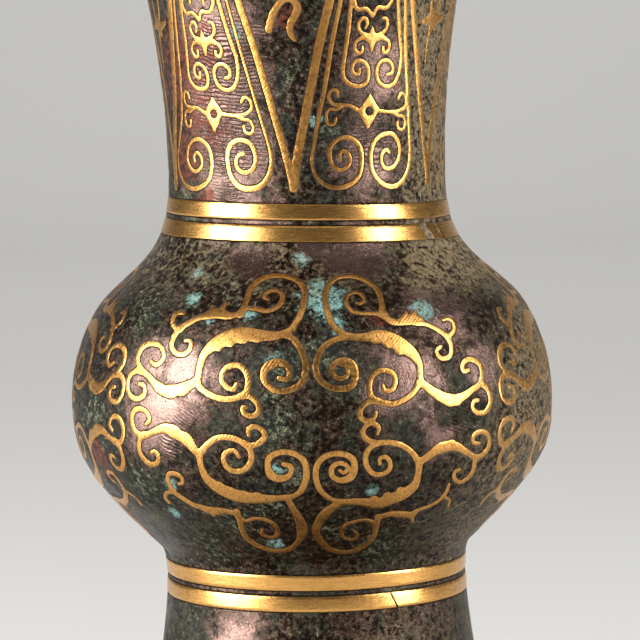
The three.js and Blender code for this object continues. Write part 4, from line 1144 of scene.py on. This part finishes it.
def bronze_finish(settings):
    """Near-black, half-polished bronze with green mottling, red oxide, crusts, and earth on the right."""
    material, board, shader, place = board_of("patinated_bronze")
    edge = board.node("ShaderNodeAttribute", {"attribute_name": "gold_edge"}, output="Fac")
    right, height = place.part("X"), place.part("Z")
    wide = grain(board, place, 75, 4, 0.6)
    cloud = grain(board, place, 240, 8, 0.75, seed=0.37)
    crumb = grain(board, place, 480, 8, 0.8, seed=0.83)
    speck = grain(board, place, 1150, 6, 0.8, seed=0.11)
    fine = grain(board, place, 3200, 3, 0.65, seed=0.23)
    calm = near_spots(board, place, SMOOTH_SPOTS, cloud * 2 - 1)
    quiet = 1 - calm * 0.9

    # Bare metal, purplish where it kept its polish
    colour = blend(board, speck.between(0.42, 0.62), settings.umber, settings.bronze)
    polish = calm.most(wide.between(0.5, 0.62) * 0.35) * fine.between(0.25, 0.55)
    colour = blend(board, polish, colour, settings.plum)

    # Green mottling, with black between it and pale grains on it
    crusted = near_spots(board, place, CRUST_SPOTS, crumb * 3 - 1.5)
    green = (wide * 0.3 + cloud * 0.35 + speck * 0.35 + crusted * 0.05).between(0.5, 0.53) * quiet
    green_tone = blend(board, (speck * 0.75 + fine * 0.25).between(0.47, 0.56),
                       settings.malachite_dark, settings.malachite)
    colour = blend(board, green * 0.85, colour, green_tone)
    black = (crumb * 0.5 + speck * 0.5).between(0.505, 0.46) * (1 - calm * 0.8)
    colour = blend(board, black * 0.85, colour, BLACK)
    pale = (crumb * 0.4 + speck * 0.6 + crusted * 0.05).between(0.57, 0.6) * quiet
    bloom = near_spots(board, place, PALE_SPOTS, crumb * 4 - 2) * speck.between(0.44, 0.5)
    pale = pale.most(bloom * 0.75)
    pale_tone = blend(board, fine.between(0.42, 0.58), settings.malachite, settings.pale_green)
    colour = blend(board, pale * 0.9, colour, pale_tone)

    # Red oxide and blue-green crust
    red = near_spots(board, place, RED_SPOTS, crumb * 2.4 - 1.2) * speck.between(0.45, 0.53)
    colour = blend(board, red * 0.9, colour, settings.cuprite)
    crust = near_spots(board, place, TURQUOISE_SPOTS, crumb * 4 - 2) * speck.between(0.42, 0.47)
    crust_tone = blend(board, fine.between(0.4, 0.58), settings.turquoise, settings.pale_turquoise)
    colour = blend(board, crust * 0.9, colour, crust_tone)

    # Earth on the right, and dust in the grain and under the rings
    earth = side_earth(right, height, cloud, crumb, speck)
    sand = speck * 0.5 + fine * 0.5
    earth_tone = blend(board, sand.between(0.42, 0.6), settings.earth, settings.pale_earth)
    colour = blend(board, earth * 0.85, colour, earth_tone)
    grit = sand.between(0.585, 0.62) * cloud.between(0.42, 0.58)
    under_rings = height.between(0.103, 0.112) * height.between(0.1175, 0.1165) * (1 - calm)
    dust = grit.most(under_rings * (crumb * 0.4 + speck * 0.6).between(0.47, 0.56) * 0.65)
    colour = blend(board, dust * 0.7, colour, settings.pale_earth)

    # Painted shade in the seam along the gold: near black where the gap is empty, earth where it is filled.
    # The seam also dips in the bump
    seam_dip_and_shade = edge.between(0.26, 0.03)
    seam_shade_and_earth_tone = blend(board, earth, SEAM_SHADE_BLACK, settings.pale_earth)
    colour = blend(board, seam_dip_and_shade * 0.85, colour, seam_shade_and_earth_tone)

    cover = (green * 0.7).most(crust).most(earth).most(dust * 0.7).most(pale).most(red * 0.5)
    cover = cover.most(seam_dip_and_shade * 0.7)
    rough = 0.25 - calm * 0.05 + cover * 0.36 + black * 0.12 + (fine - 0.5) * 0.3
    board.feed(shader.inputs["Base Color"], colour)
    board.feed(shader.inputs["Metallic"], 0.95 - cover * 0.9)
    board.feed(shader.inputs["Roughness"], rough)
    shader.inputs["Specular IOR Level"].default_value = 0.2

    # Pits, grain, crusts and polishing lines
    pit = pits(board, place, 760, seed=0.05)
    hollow = pit.between(0.0, 0.36, -1, 0) * (cloud.between(0.42, 0.6) * 0.8 + 0.2) * quiet
    scratch = near_spots(board, place, SCRATCH_SPOTS, cloud * 2 - 1)
    sway = grain(board, place, 170, 2, 0.45, seed=0.51)
    slant = height.between(0.11, 0.1) * 0.5 + 0.12
    wave = ((height + right * slant) * 10500 + sway * 30).sine() * scratch * crumb.between(0.36, 0.5)
    height_mm = ((hollow * 0.08 + speck * 0.15 + crumb * 0.14) * (1 - calm * 0.5) + fine * 0.05
                 + (crust + earth * 0.6 + pale * 0.5) * 0.06 + wave * 0.085 - seam_dip_and_shade * 0.1)
    emboss(board, shader, 0.8, height_mm)
    return material


def floor_finish(settings):
    """Duller bronze for the floor disc."""
    material, board, shader, place = board_of("floor_bronze_finish")
    cloud = grain(board, place, 160, 7, 0.7)
    speck = grain(board, place, 900, 5, 0.7, seed=0.3)
    green = cloud.between(0.42, 0.6)
    colour = blend(board, green, settings.umber, settings.malachite_dark)
    colour = blend(board, speck.between(0.55, 0.7) * 0.5, colour, settings.pale_earth)
    board.feed(shader.inputs["Base Color"], colour)
    board.feed(shader.inputs["Metallic"], 0.7 - green * 0.4)
    board.feed(shader.inputs["Roughness"], 0.5 + speck * 0.3)
    emboss(board, shader, 0.7, speck * 0.12 + cloud * 0.15)
    return material


class Gold:
    """What the gold of the rings and of the lines share: worked grain, tarnish, and soil on the right."""

    def __init__(self, name, drawn_scale):
        self.material, self.board, self.shader, self.place = board_of(name)
        self.cloud = grain(self.board, self.place, 230, 6, 0.68, seed=0.17)
        self.speck = grain(self.board, self.place, 1500, 5, 0.74, seed=0.41)
        self.drawn = grain(self.board, self.place, 1, 5, 0.68, stretch=drawn_scale)
        self.tarnish = (self.cloud * 0.55 + self.speck * 0.45).between(0.49, 0.6)
        self.soil = ((self.place.part("X") + (self.cloud - 0.5) * 0.02).between(0.0185, 0.03)
                     * self.speck.between(0.42, 0.58))

    def finish(self, settings, bright, worn, soiled, rough, height_mm):
        """Deep gold that brightens, with worn and soiled places over it."""
        colour = blend(self.board, bright, settings.gold_deep, settings.gold)
        colour = blend(self.board, worn, colour, settings.gold_worn)
        colour = blend(self.board, soiled, colour, settings.earth)
        self.board.feed(self.shader.inputs["Base Color"], colour)
        self.board.feed(self.shader.inputs["Metallic"], 1.0 - self.soil * 0.4)
        self.board.feed(self.shader.inputs["Roughness"], rough)
        emboss(self.board, self.shader, 0.7, height_mm)
        return self.material


def ring_gold_finish(settings):
    """The rings' gold, with fine streaks that run round them."""
    gold = Gold("ring_gold", (420, 420, 5600))
    return gold.finish(
        settings, bright=gold.drawn.between(0.2, 0.6) * 0.8 + 0.2, worn=gold.tarnish * 0.12,
        soiled=gold.soil * 0.2, rough=gold.drawn * 0.14 + gold.tarnish * 0.04 + gold.speck * 0.02 + 0.18,
        height_mm=gold.drawn * 0.03 + gold.speck * 0.012 + gold.cloud * 0.03)


def line_gold_finish(settings):
    """The gold of the lines, rougher, with slanting marks of the tool and worn places."""
    gold = Gold("line_gold", (2600, 2600, 1500))
    cloud, speck, drawn, place = gold.cloud, gold.speck, gold.drawn, gold.place
    fine = grain(gold.board, place, 4300, 2, 0.5, seed=0.29)
    worn = near_spots(gold.board, place, WORN_SPOTS, cloud * 1.2 - 0.6)
    slant = place.part("Z") * 0.8 - place.part("X")
    marks = (slant * 11000 + cloud * 9).sine() * cloud.between(0.42, 0.56)
    return gold.finish(
        settings, bright=(drawn * 0.6 + speck * 0.4).between(0.4, 0.6),
        worn=(gold.tarnish * 0.5).most(worn * 0.6), soiled=gold.soil * 0.45,
        rough=drawn * 0.14 + gold.tarnish * 0.14 + speck * 0.1 + 0.17,
        height_mm=drawn * 0.05 + speck * 0.045 + fine * 0.03 + cloud * 0.06 + marks * 0.014)


def filling_finish(settings):
    """Earth packed into a gap of the ring."""
    material, board, shader, place = board_of("earth_filling")
    speck = grain(board, place, 1100, 6, 0.7)
    colour = blend(board, speck.between(0.35, 0.65), settings.earth, settings.pale_earth)
    board.feed(shader.inputs["Base Color"], colour)
    board.feed(shader.inputs["Roughness"], 0.7 + speck * 0.2)
    emboss(board, shader, 0.8, speck * 0.15)
    return material


def stage_finish(settings):
    """Matt paper with a faint tooth."""
    material, board, shader, place = board_of("stage_paper")
    tooth = grain(board, place, 900, 3)
    colour = blend(board, tooth.between(0.3, 0.7) * 0.06, settings.paper, (0.7, 0.7, 0.7))
    board.feed(shader.inputs["Base Color"], colour)
    board.feed(shader.inputs["Roughness"], 0.85 + tooth * 0.1)
    return material


# What a user would change

def tint(name, what, colour):
    return FloatVectorProperty(name=name, description=what, subtype="COLOR", size=3, min=0, max=1,
                               default=colour)


def spacing(name, what, default):
    return FloatProperty(name=name, description=f"Spacing of {what} points along its outline",
                         default=default, min=0.0002, max=0.005, unit="LENGTH", precision=5)


class VaseColours(bpy.types.PropertyGroup):
    bronze: tint("Bronze", "Bare dark bronze", (0.092, 0.056, 0.038))
    umber: tint("Umber", "Darkest brown of the bronze", (0.016, 0.0095, 0.006))
    plum: tint("Plum", "Purplish parts of the bronze", (0.150, 0.094, 0.078))
    cuprite: tint("Cuprite", "Red oxide", (0.110, 0.022, 0.010))
    malachite_dark: tint("Dark malachite", "Dark green patina", (0.005, 0.0065, 0.0035))
    malachite: tint("Malachite", "Green-grey patina", (0.021, 0.029, 0.014))
    turquoise: tint("Turquoise", "Blue-green crust", (0.060, 0.160, 0.140))
    pale_turquoise: tint("Pale turquoise", "Lighter blue-green crust", (0.230, 0.370, 0.330))
    pale_green: tint("Pale green", "Pale grains of the patina", (0.170, 0.185, 0.110))
    earth: tint("Earth", "Earth on the right side", (0.045, 0.029, 0.012))
    pale_earth: tint("Pale earth", "Dry earth and dust", (0.240, 0.180, 0.100))
    gold: tint("Gold", "Bright gold", (0.690, 0.372, 0.110))
    gold_deep: tint("Deep gold", "Darker gold between the grain", (0.420, 0.195, 0.046))
    gold_worn: tint("Worn gold", "Tarnished gold", (0.320, 0.145, 0.040))
    paper: tint("Paper", "Floor and backdrop", (0.540, 0.535, 0.520))


class VaseSizes(bpy.types.PropertyGroup):
    belly_step: spacing("Belly step", "the belly's", 0.00045)
    neck_step: spacing("Neck step", "the neck's", 0.00062)
    foot_step: spacing("Foot step", "the foot's", 0.0007)
    belly_turns: IntProperty(name="Belly segments", description="Points round the belly", default=520, min=32)
    neck_turns: IntProperty(name="Neck segments", description="Points round the neck", default=380, min=32)
    foot_turns: IntProperty(name="Foot segments", description="Points round the foot", default=360, min=32)
    ring_crown: FloatProperty(name="Ring crown", description="How far a ring stands proud at its middle",
                              default=0.00011, min=0, max=0.0005, unit="LENGTH", precision=5)
    camera_distance: FloatProperty(name="Camera distance", description="From the camera to the vase's middle",
                                   default=0.5667, min=0.2, max=3, unit="LENGTH")


class Shared:
    """Trees and materials that several pieces use, made with the first piece."""

    def __init__(self):
        colours = bpy.context.scene.vase_colours
        self.turned = turned_tree()
        self.laid = laid_tree()
        self.bronze = bronze_finish(colours)
        self.floor_bronze = floor_finish(colours)
        self.ring_gold = ring_gold_finish(colours)
        self.line_gold = line_gold_finish(colours)
        self.filling = filling_finish(colours)
        self.paper = stage_finish(colours)


shared = {}


def tools():
    if "made" not in shared:
        shared["made"] = Shared()
    return shared["made"]


def turned_piece(name, points, segments, material, start=0.0, end=360.0):
    """A profile of (radius, height) points turned from one angle to another."""
    vertices = [(radius, 0, z) for radius, z in points]
    profile = plain_mesh(name, vertices, [], [(k, (k + 1) % len(points)) for k in range(len(points))])
    return grown(name, profile, tools().turned, {
        "Segments": segments, "From": start, "To": end, "Material": material})


def write_gold_edge(piece, golds):
    """Stores the distance to the nearest gold at points of the skin, for the painted shade in the seam round
    it.
    """
    theta, z, radius = skin_places(piece.data)
    outside = radius > radius_at(z) - 1
    nearest = np.full(theta.shape, FAR)
    for gold in golds:
        nearest[outside] = np.minimum(nearest[outside], gold.distance(theta[outside], z[outside]))
    for ring in (*FOOT_RINGS, *NECK_RINGS):
        middle = ring - tilt_at(ring) * np.sin(np.radians(theta))
        nearest = np.where(outside, np.minimum(nearest, np.abs(z - middle) - RING_WIDTH / 2), nearest)
    attribute = piece.data.attributes.new("gold_edge", "FLOAT", "POINT")
    attribute.data.foreach_set("value", nearest)


# Degrees at which a casting's edge counts as sharp
CASTING_SHARP = 34


def finish_casting(piece, golds, node):
    """Gives a turned casting its unevenness, its gold edges and its place."""
    settle(piece, True)
    write_gold_edge(piece, golds)
    smooth_shade(piece, CASTING_SHARP)
    hand_in(piece, [node])


# The spigot joints between the castings

SPIGOT_WALL = 1.4
SPIGOT_LENGTH = 3.5
FIT = 0.3
JOINT_GAP = 0.01


def bore_at(z):
    return float(radius_at(z)) - WALL


def channel_floor(z):
    """Where a joint's flat face meets the floor of the ring's channel."""
    return float(radius_at(z)) - CHANNEL_DEPTH, z


def spigot(z):
    """Profile of the spigot that stands in the casting below, out to the skin."""
    outside = bore_at(z) - FIT
    inside = outside - SPIGOT_WALL
    end = z - SPIGOT_LENGTH
    return [(inside, end), (outside, end), (outside, z + FIT), channel_floor(z + FIT)]


def socket(z, low):
    """Profile from the skin into the bore that takes a spigot, down to a height."""
    return [channel_floor(z), (bore_at(z), z), (bore_at(z), low)]


# The ledge under the floor disc, and how near the axis the disc's profile starts

LEDGE_HEIGHT = 2.4
LEDGE_WIDTH = 3
POLE = 0.001


class VASE_OT_foot(bpy.types.Operator):
    """Turn the hollow foot with its rim, its band and the ledge for the floor"""
    bl_idname = "vase.foot"
    bl_label = "Foot"

    def execute(self, context):
        sizes = context.scene.vase_sizes
        ledge_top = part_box("floor_plate")[0][2] / MM - FIT
        ledge_foot = ledge_top - LEDGE_HEIGHT
        ledge_radius = bore_at(FOOT_JOINT_Z) - LEDGE_WIDTH
        rim = [(FOOT_RADIUS - inward, z) for inward, z in FOOT_RIM]
        outer = outer_points(FOOT_BAND + 0.6, FOOT_JOINT_Z - JOINT_GAP, sizes.foot_step / MM)
        ledge = [(ledge_radius, ledge_top), (ledge_radius, ledge_foot)]
        hollow = [point for point in inner_points(CURVES[0], 22) if 6 < point[1] < ledge_foot - 0.8]
        radii, heights = np.array(sorted(hollow, key=lambda point: point[1])).T
        under = [(float(np.interp(ledge_foot, heights, radii)), ledge_foot)]
        points = (rim + outer + socket(FOOT_JOINT_Z, ledge_top) + ledge + under + descending(hollow)
                  + [(rim[0][0], 5)])
        piece = turned_piece("foot_shell", points, sizes.foot_turns, tools().bronze)
        finish_casting(piece, [], "foot_casting")
        return {"FINISHED"}


class VASE_OT_belly(bpy.types.Operator):
    """Turn the round belly with its spigot below and its bore above"""
    bl_idname = "vase.belly"
    bl_label = "Belly"

    def execute(self, context):
        sizes = context.scene.vase_sizes
        start = spigot(FOOT_JOINT_Z)
        inside = start[0][0]
        outer = outer_points(start[-1][1] + JOINT_GAP, NECK_JOINT_Z - JOINT_GAP, sizes.belly_step / MM)
        bore_end = NECK_JOINT_Z - SPIGOT_LENGTH - FIT
        hollow = inner_points(CURVES[2], 9) + inner_points(CURVES[3], 6)[1:] + inner_points(CURVES[4], 8)[1:]
        hollow = [(radius, z) for radius, z in hollow
                  if BELLY_FOOT[1] < z < bore_end + FIT - 1 and radius > inside]
        points = (start + outer + socket(NECK_JOINT_Z, bore_end) + descending(hollow)
                  + [(inside, BELLY_FOOT[1])])
        piece = turned_piece("belly_shell", points, sizes.belly_turns, tools().bronze)
        finish_casting(piece, BELLY_GOLD, "belly_casting")
        return {"FINISHED"}


class VASE_OT_neck(bpy.types.Operator):
    """Turn the neck with its trumpet mouth and the spigot in the belly"""
    bl_idname = "vase.neck"
    bl_label = "Neck"

    def execute(self, context):
        sizes = context.scene.vase_sizes
        start = spigot(NECK_JOINT_Z)
        outer = outer_points(start[-1][1] + JOINT_GAP, MOUTH[1] - 0.05, sizes.neck_step / MM)
        lip = [(MOUTH[0] - inward, HEIGHT - down) for inward, down in LIP]
        hollow = inner_points(CURVES[5], 26)[:-1]
        points = start + outer + lip + descending(hollow) + [(start[0][0], NECK_UPPER_Z)]
        piece = turned_piece("neck_shell", points, sizes.neck_turns, tools().bronze)
        finish_casting(piece, NECK_GOLD, "neck_casting")
        return {"FINISHED"}


class VASE_OT_floor(bpy.types.Operator):
    """Turn the floor disc with eased edges"""
    bl_idname = "vase.floor_disc"
    bl_label = "Floor disc"

    def execute(self, context):
        low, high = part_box("floor_plate")
        radius, bottom, top = high[0] / MM, low[2] / MM, high[2] / MM
        points = [(POLE, bottom), (radius - 0.3, bottom), (radius, bottom + 0.3), (radius, top - 0.3),
                  (radius - 0.1, top - 0.08), (radius - 0.3, top), (radius - 3, top - 0.12), (8, top - 0.2),
                  (POLE, top - 0.2)]
        piece = turned_piece("floor_disc", points, 96, tools().floor_bronze)
        smooth_shade(piece)
        hand_in(piece, ["floor_plate"])
        return {"FINISHED"}


# The slant of the rings' joints, in degrees for each millimetre of height

JOINT_SLANT = 1.1
# Lengths of ring, as (name, height, first and last angle, node)
RINGS = [
    ("ring_neck_upper", NECK_UPPER_Z, 196.4, 555.6, "neck_ring_upper"),
    ("ring_neck_lower", NECK_LOWER_Z, 61.5, 409.5, "neck_ring_lower"),
    ("ring_neck_patch", NECK_LOWER_Z, 54.6, 59.7, "neck_ring_patch"),
    ("ring_foot_upper", FOOT_UPPER_Z, 214.4, 573.6, "foot_ring_upper"),
    ("ring_foot_lower", FOOT_LOWER_Z, 30.4, 389.6, "foot_ring_lower"),
]
# Earth fills the gaps beside the patch, from one angle to another, sunk a little under the gold
FILLING_START, FILLING_END = 49.2, 61.6
FILLING_SUNK = 0.06


def ring_profile(z, crown):
    """Section of a laid ring, slightly crowned, with eased edges."""
    half = RING_WIDTH / 2
    across = [(-half + 0.05, -0.42), (-half, -0.1), (-half + 0.01, 0.02), (-half + 0.08, crown * 0.7),
              (-half * 0.6, crown * 0.9), (0, crown), (half * 0.6, crown * 0.9), (half - 0.08, crown * 0.7),
              (half - 0.01, 0.02), (half, -0.1), (half - 0.05, -0.42)]
    return [(float(radius_at(z + up)) + out, z + up) for up, out in across]


def ring_length(name, profile, segments, material, start, end):
    """A length of ring with closed ends."""
    piece = turned_piece(name, profile, segments, material, start, end)
    close_ends(piece.data)
    return piece


def set_ring(piece, nodes):
    """Lets a length of ring follow the skin and its tilt."""
    settle(piece, True)
    smooth_shade(piece)
    hand_in(piece, nodes)


class VASE_OT_rings(bpy.types.Operator):
    """Lay the four broad rings, with their joints and the patched length"""
    bl_idname = "vase.rings"
    bl_label = "Rings"

    def execute(self, context):
        crown = context.scene.vase_sizes.ring_crown / MM
        for name, z, start, end, node in RINGS:
            segments = max(int(end - start), 6)
            piece = ring_length(name, ring_profile(z, crown), segments, tools().ring_gold, start, end)
            theta, height, radius = skin_places(piece.data)
            place_points(piece.data, theta - JOINT_SLANT * (height - z), height, radius)
            set_ring(piece, [node])
        profile = [(radius - FILLING_SUNK, z) for radius, z in ring_profile(NECK_LOWER_Z, 0.02)]
        piece = ring_length("ring_filling", profile, 16, tools().filling, FILLING_START, FILLING_END)
        set_ring(piece, [])
        return {"FINISHED"}


def outline_object():
    """The outline as evenly spaced points, for the tree that lays the gold."""
    if "outline" not in shared:
        arcs = np.arange(0, ARC[-1], OUTLINE_STEP)
        heights = height_at(arcs)
        mesh = plain_mesh("outline", np.column_stack([radius_at(heights), np.zeros(len(arcs)), heights]), [],
                          [(k, k + 1) for k in range(len(arcs) - 1)])
        shared["outline"] = bpy.data.objects.new("outline", mesh)
        bpy.context.scene.collection.objects.link(shared["outline"])
    return shared["outline"]


def lay(gold):
    """Lays a drawing on the skin in all its places."""
    vertices, faces = gold.figure.plate()
    piece = grown(gold.name, plain_mesh(gold.name, vertices, faces), tools().laid, {
        "Outline": outline_object(), "Middle": gold.middle, "Spread": gold.spread,
        "Copies": gold.copies, "Pitch": gold.pitch, "Material": tools().line_gold})
    settle(piece, False)
    smooth_shade(piece, 50)
    hand_in(piece, gold.nodes)


class VASE_OT_neck_gold(bpy.types.Operator):
    """Lay the blades and the V strips round the neck"""
    bl_idname = "vase.neck_gold"
    bl_label = "Neck gold"

    def execute(self, context):
        for gold in NECK_GOLD:
            lay(gold)
        return {"FINISHED"}


class VASE_OT_belly_gold(bpy.types.Operator):
    """Lay the scrolling motifs round the belly"""
    bl_idname = "vase.belly_gold"
    bl_label = "Belly gold"

    def execute(self, context):
        for gold in BELLY_GOLD:
            lay(gold)
        bpy.data.objects.remove(shared.pop("outline"))
        return {"FINISHED"}


# Stage, in metres. The camera's focal length and axis are in the photograph's pixels, its sensor in mm.

AIM = Vector((0, 0, 0.1))
CAMERA_ELEVATION = math.radians(5)
CAMERA_ROLL = math.radians(-1.35)
FOCAL_PIXELS = 3400
FRAME_PIXELS = 640
AXIS_PIXEL = 310.3
SENSOR = 36
PAPER_SIDE = 3.0
PAPER_FRONT = -3.0
PAPER_BACK = 2.9
PAPER_BEND = 1.2
PAPER_TOP = 3.0


def lamp(name, place, width, height, power, aim=AIM, colour=(1, 1, 1)):
    """A soft rectangular lamp that looks at a place."""
    data = bpy.data.lights.new(name, "AREA")
    data.shape, data.size, data.size_y, data.energy, data.color = "RECTANGLE", width, height, power, colour
    item = bpy.data.objects.new(name, data)
    bpy.context.scene.collection.objects.link(item)
    item.location = place
    item.rotation_euler = (Vector(aim) - Vector(place)).to_track_quat("-Z", "Y").to_euler()


def around(azimuth, distance, z):
    """A place round the vase, at an angle from the front toward +X."""
    turn = math.radians(azimuth)
    return (distance * math.sin(turn), -distance * math.cos(turn), z)


def paper_sweep():
    """A floor that bends up into the backdrop."""
    turn = np.radians(np.linspace(0, 90, 17))
    bend = zip(PAPER_BACK - PAPER_BEND * (1 - np.sin(turn)), PAPER_BEND * (1 - np.cos(turn)))
    side = [(PAPER_FRONT, 0), *bend, (PAPER_BACK, PAPER_TOP)]
    vertices = [(x, y, z) for y, z in side for x in (-PAPER_SIDE, PAPER_SIDE)]
    faces = [(2 * k, 2 * k + 1, 2 * k + 3, 2 * k + 2) for k in range(len(side) - 1)]
    mesh = bpy.data.meshes.new("paper_sweep")
    mesh.from_pydata(vertices, [], faces)
    mesh.materials.append(tools().paper)
    paper = bpy.data.objects.new("paper_sweep", mesh)
    bpy.context.scene.collection.objects.link(paper)
    smooth_shade(paper, 60)


def place_camera(scene):
    """Puts the camera where the photograph was taken from, with its slight roll."""
    camera = bpy.data.cameras.new("camera")
    camera.sensor_width = SENSOR
    camera.lens = SENSOR * FOCAL_PIXELS / FRAME_PIXELS
    camera.shift_x = (FRAME_PIXELS / 2 - AXIS_PIXEL) / FRAME_PIXELS
    camera.clip_end = 20
    view = bpy.data.objects.new("camera", camera)
    scene.collection.objects.link(view)
    forward = Vector((0, math.cos(CAMERA_ELEVATION), -math.sin(CAMERA_ELEVATION)))
    up = Vector((0, math.sin(CAMERA_ELEVATION), math.cos(CAMERA_ELEVATION)))
    right = Vector((1, 0, 0))
    level = math.cos(CAMERA_ROLL) * right + math.sin(CAMERA_ROLL) * up
    raised = -math.sin(CAMERA_ROLL) * right + math.cos(CAMERA_ROLL) * up
    turn = Matrix((level, raised, -forward)).transposed()
    place = AIM - forward * scene.vase_sizes.camera_distance
    view.matrix_world = Matrix.Translation(place) @ turn.to_4x4()
    scene.camera = view


class VASE_OT_stage(bpy.types.Operator):
    """Set up the plain floor, soft lamps and camera"""
    bl_idname = "vase.stage"
    bl_label = "Stage"

    def execute(self, context):
        paper_sweep()
        lamp("left_softbox", around(-68, 0.95, 0.22), 0.6, 1.0, 36)
        lamp("right_strip", around(67, 0.95, 0.25), 0.17, 1.2, 20)
        lamp("top_light", (0, -0.2, 1.5), 1.2, 1.2, 6, colour=(1, 0.97, 0.92))
        lamp("backdrop_light", (0, 1.2, 1.7), 2.0, 0.6, 26, aim=(0, 2.8, 0.3))

        world = bpy.data.worlds.new("studio")
        world.use_nodes = True
        background = world.node_tree.nodes["Background"]
        background.inputs["Color"].default_value = (1.0, 0.98, 0.94, 1)
        background.inputs["Strength"].default_value = 0.12
        context.scene.world = world
        place_camera(context.scene)
        context.scene.view_settings.view_transform = "Standard"
        return {"FINISHED"}


class VASE_PT_panel(bpy.types.Panel):
    """Lists the vase's pieces and sizes in the sidebar"""
    bl_label = "Gold-inlaid gu"
    bl_space_type = "VIEW_3D"
    bl_region_type = "UI"
    bl_category = "Vase"

    def draw(self, context):
        for operator in PIECES:
            self.layout.operator(operator.bl_idname)
        for group in (context.scene.vase_sizes, context.scene.vase_colours):
            for name in group.__annotations__:
                self.layout.prop(group, name)


PIECES = (VASE_OT_foot, VASE_OT_belly, VASE_OT_neck, VASE_OT_floor, VASE_OT_rings, VASE_OT_neck_gold,
          VASE_OT_belly_gold, VASE_OT_stage)
CLASSES = (VaseColours, VaseSizes, *PIECES, VASE_PT_panel)


def register():
    for item in CLASSES:
        bpy.utils.register_class(item)
    bpy.types.Scene.vase_colours = PointerProperty(type=VaseColours)
    bpy.types.Scene.vase_sizes = PointerProperty(type=VaseSizes)


def unregister():
    del bpy.types.Scene.vase_sizes
    del bpy.types.Scene.vase_colours
    for item in reversed(CLASSES):
        bpy.utils.unregister_class(item)


def main():
    register()
    bpy.ops.vase.foot()
    bpy.ops.vase.belly()
    bpy.ops.vase.neck()
    bpy.ops.vase.floor_disc()
    bpy.ops.vase.rings()
    bpy.ops.vase.neck_gold()
    bpy.ops.vase.belly_gold()
    bpy.ops.vase.stage()


if __name__ == "__main__":
    main()
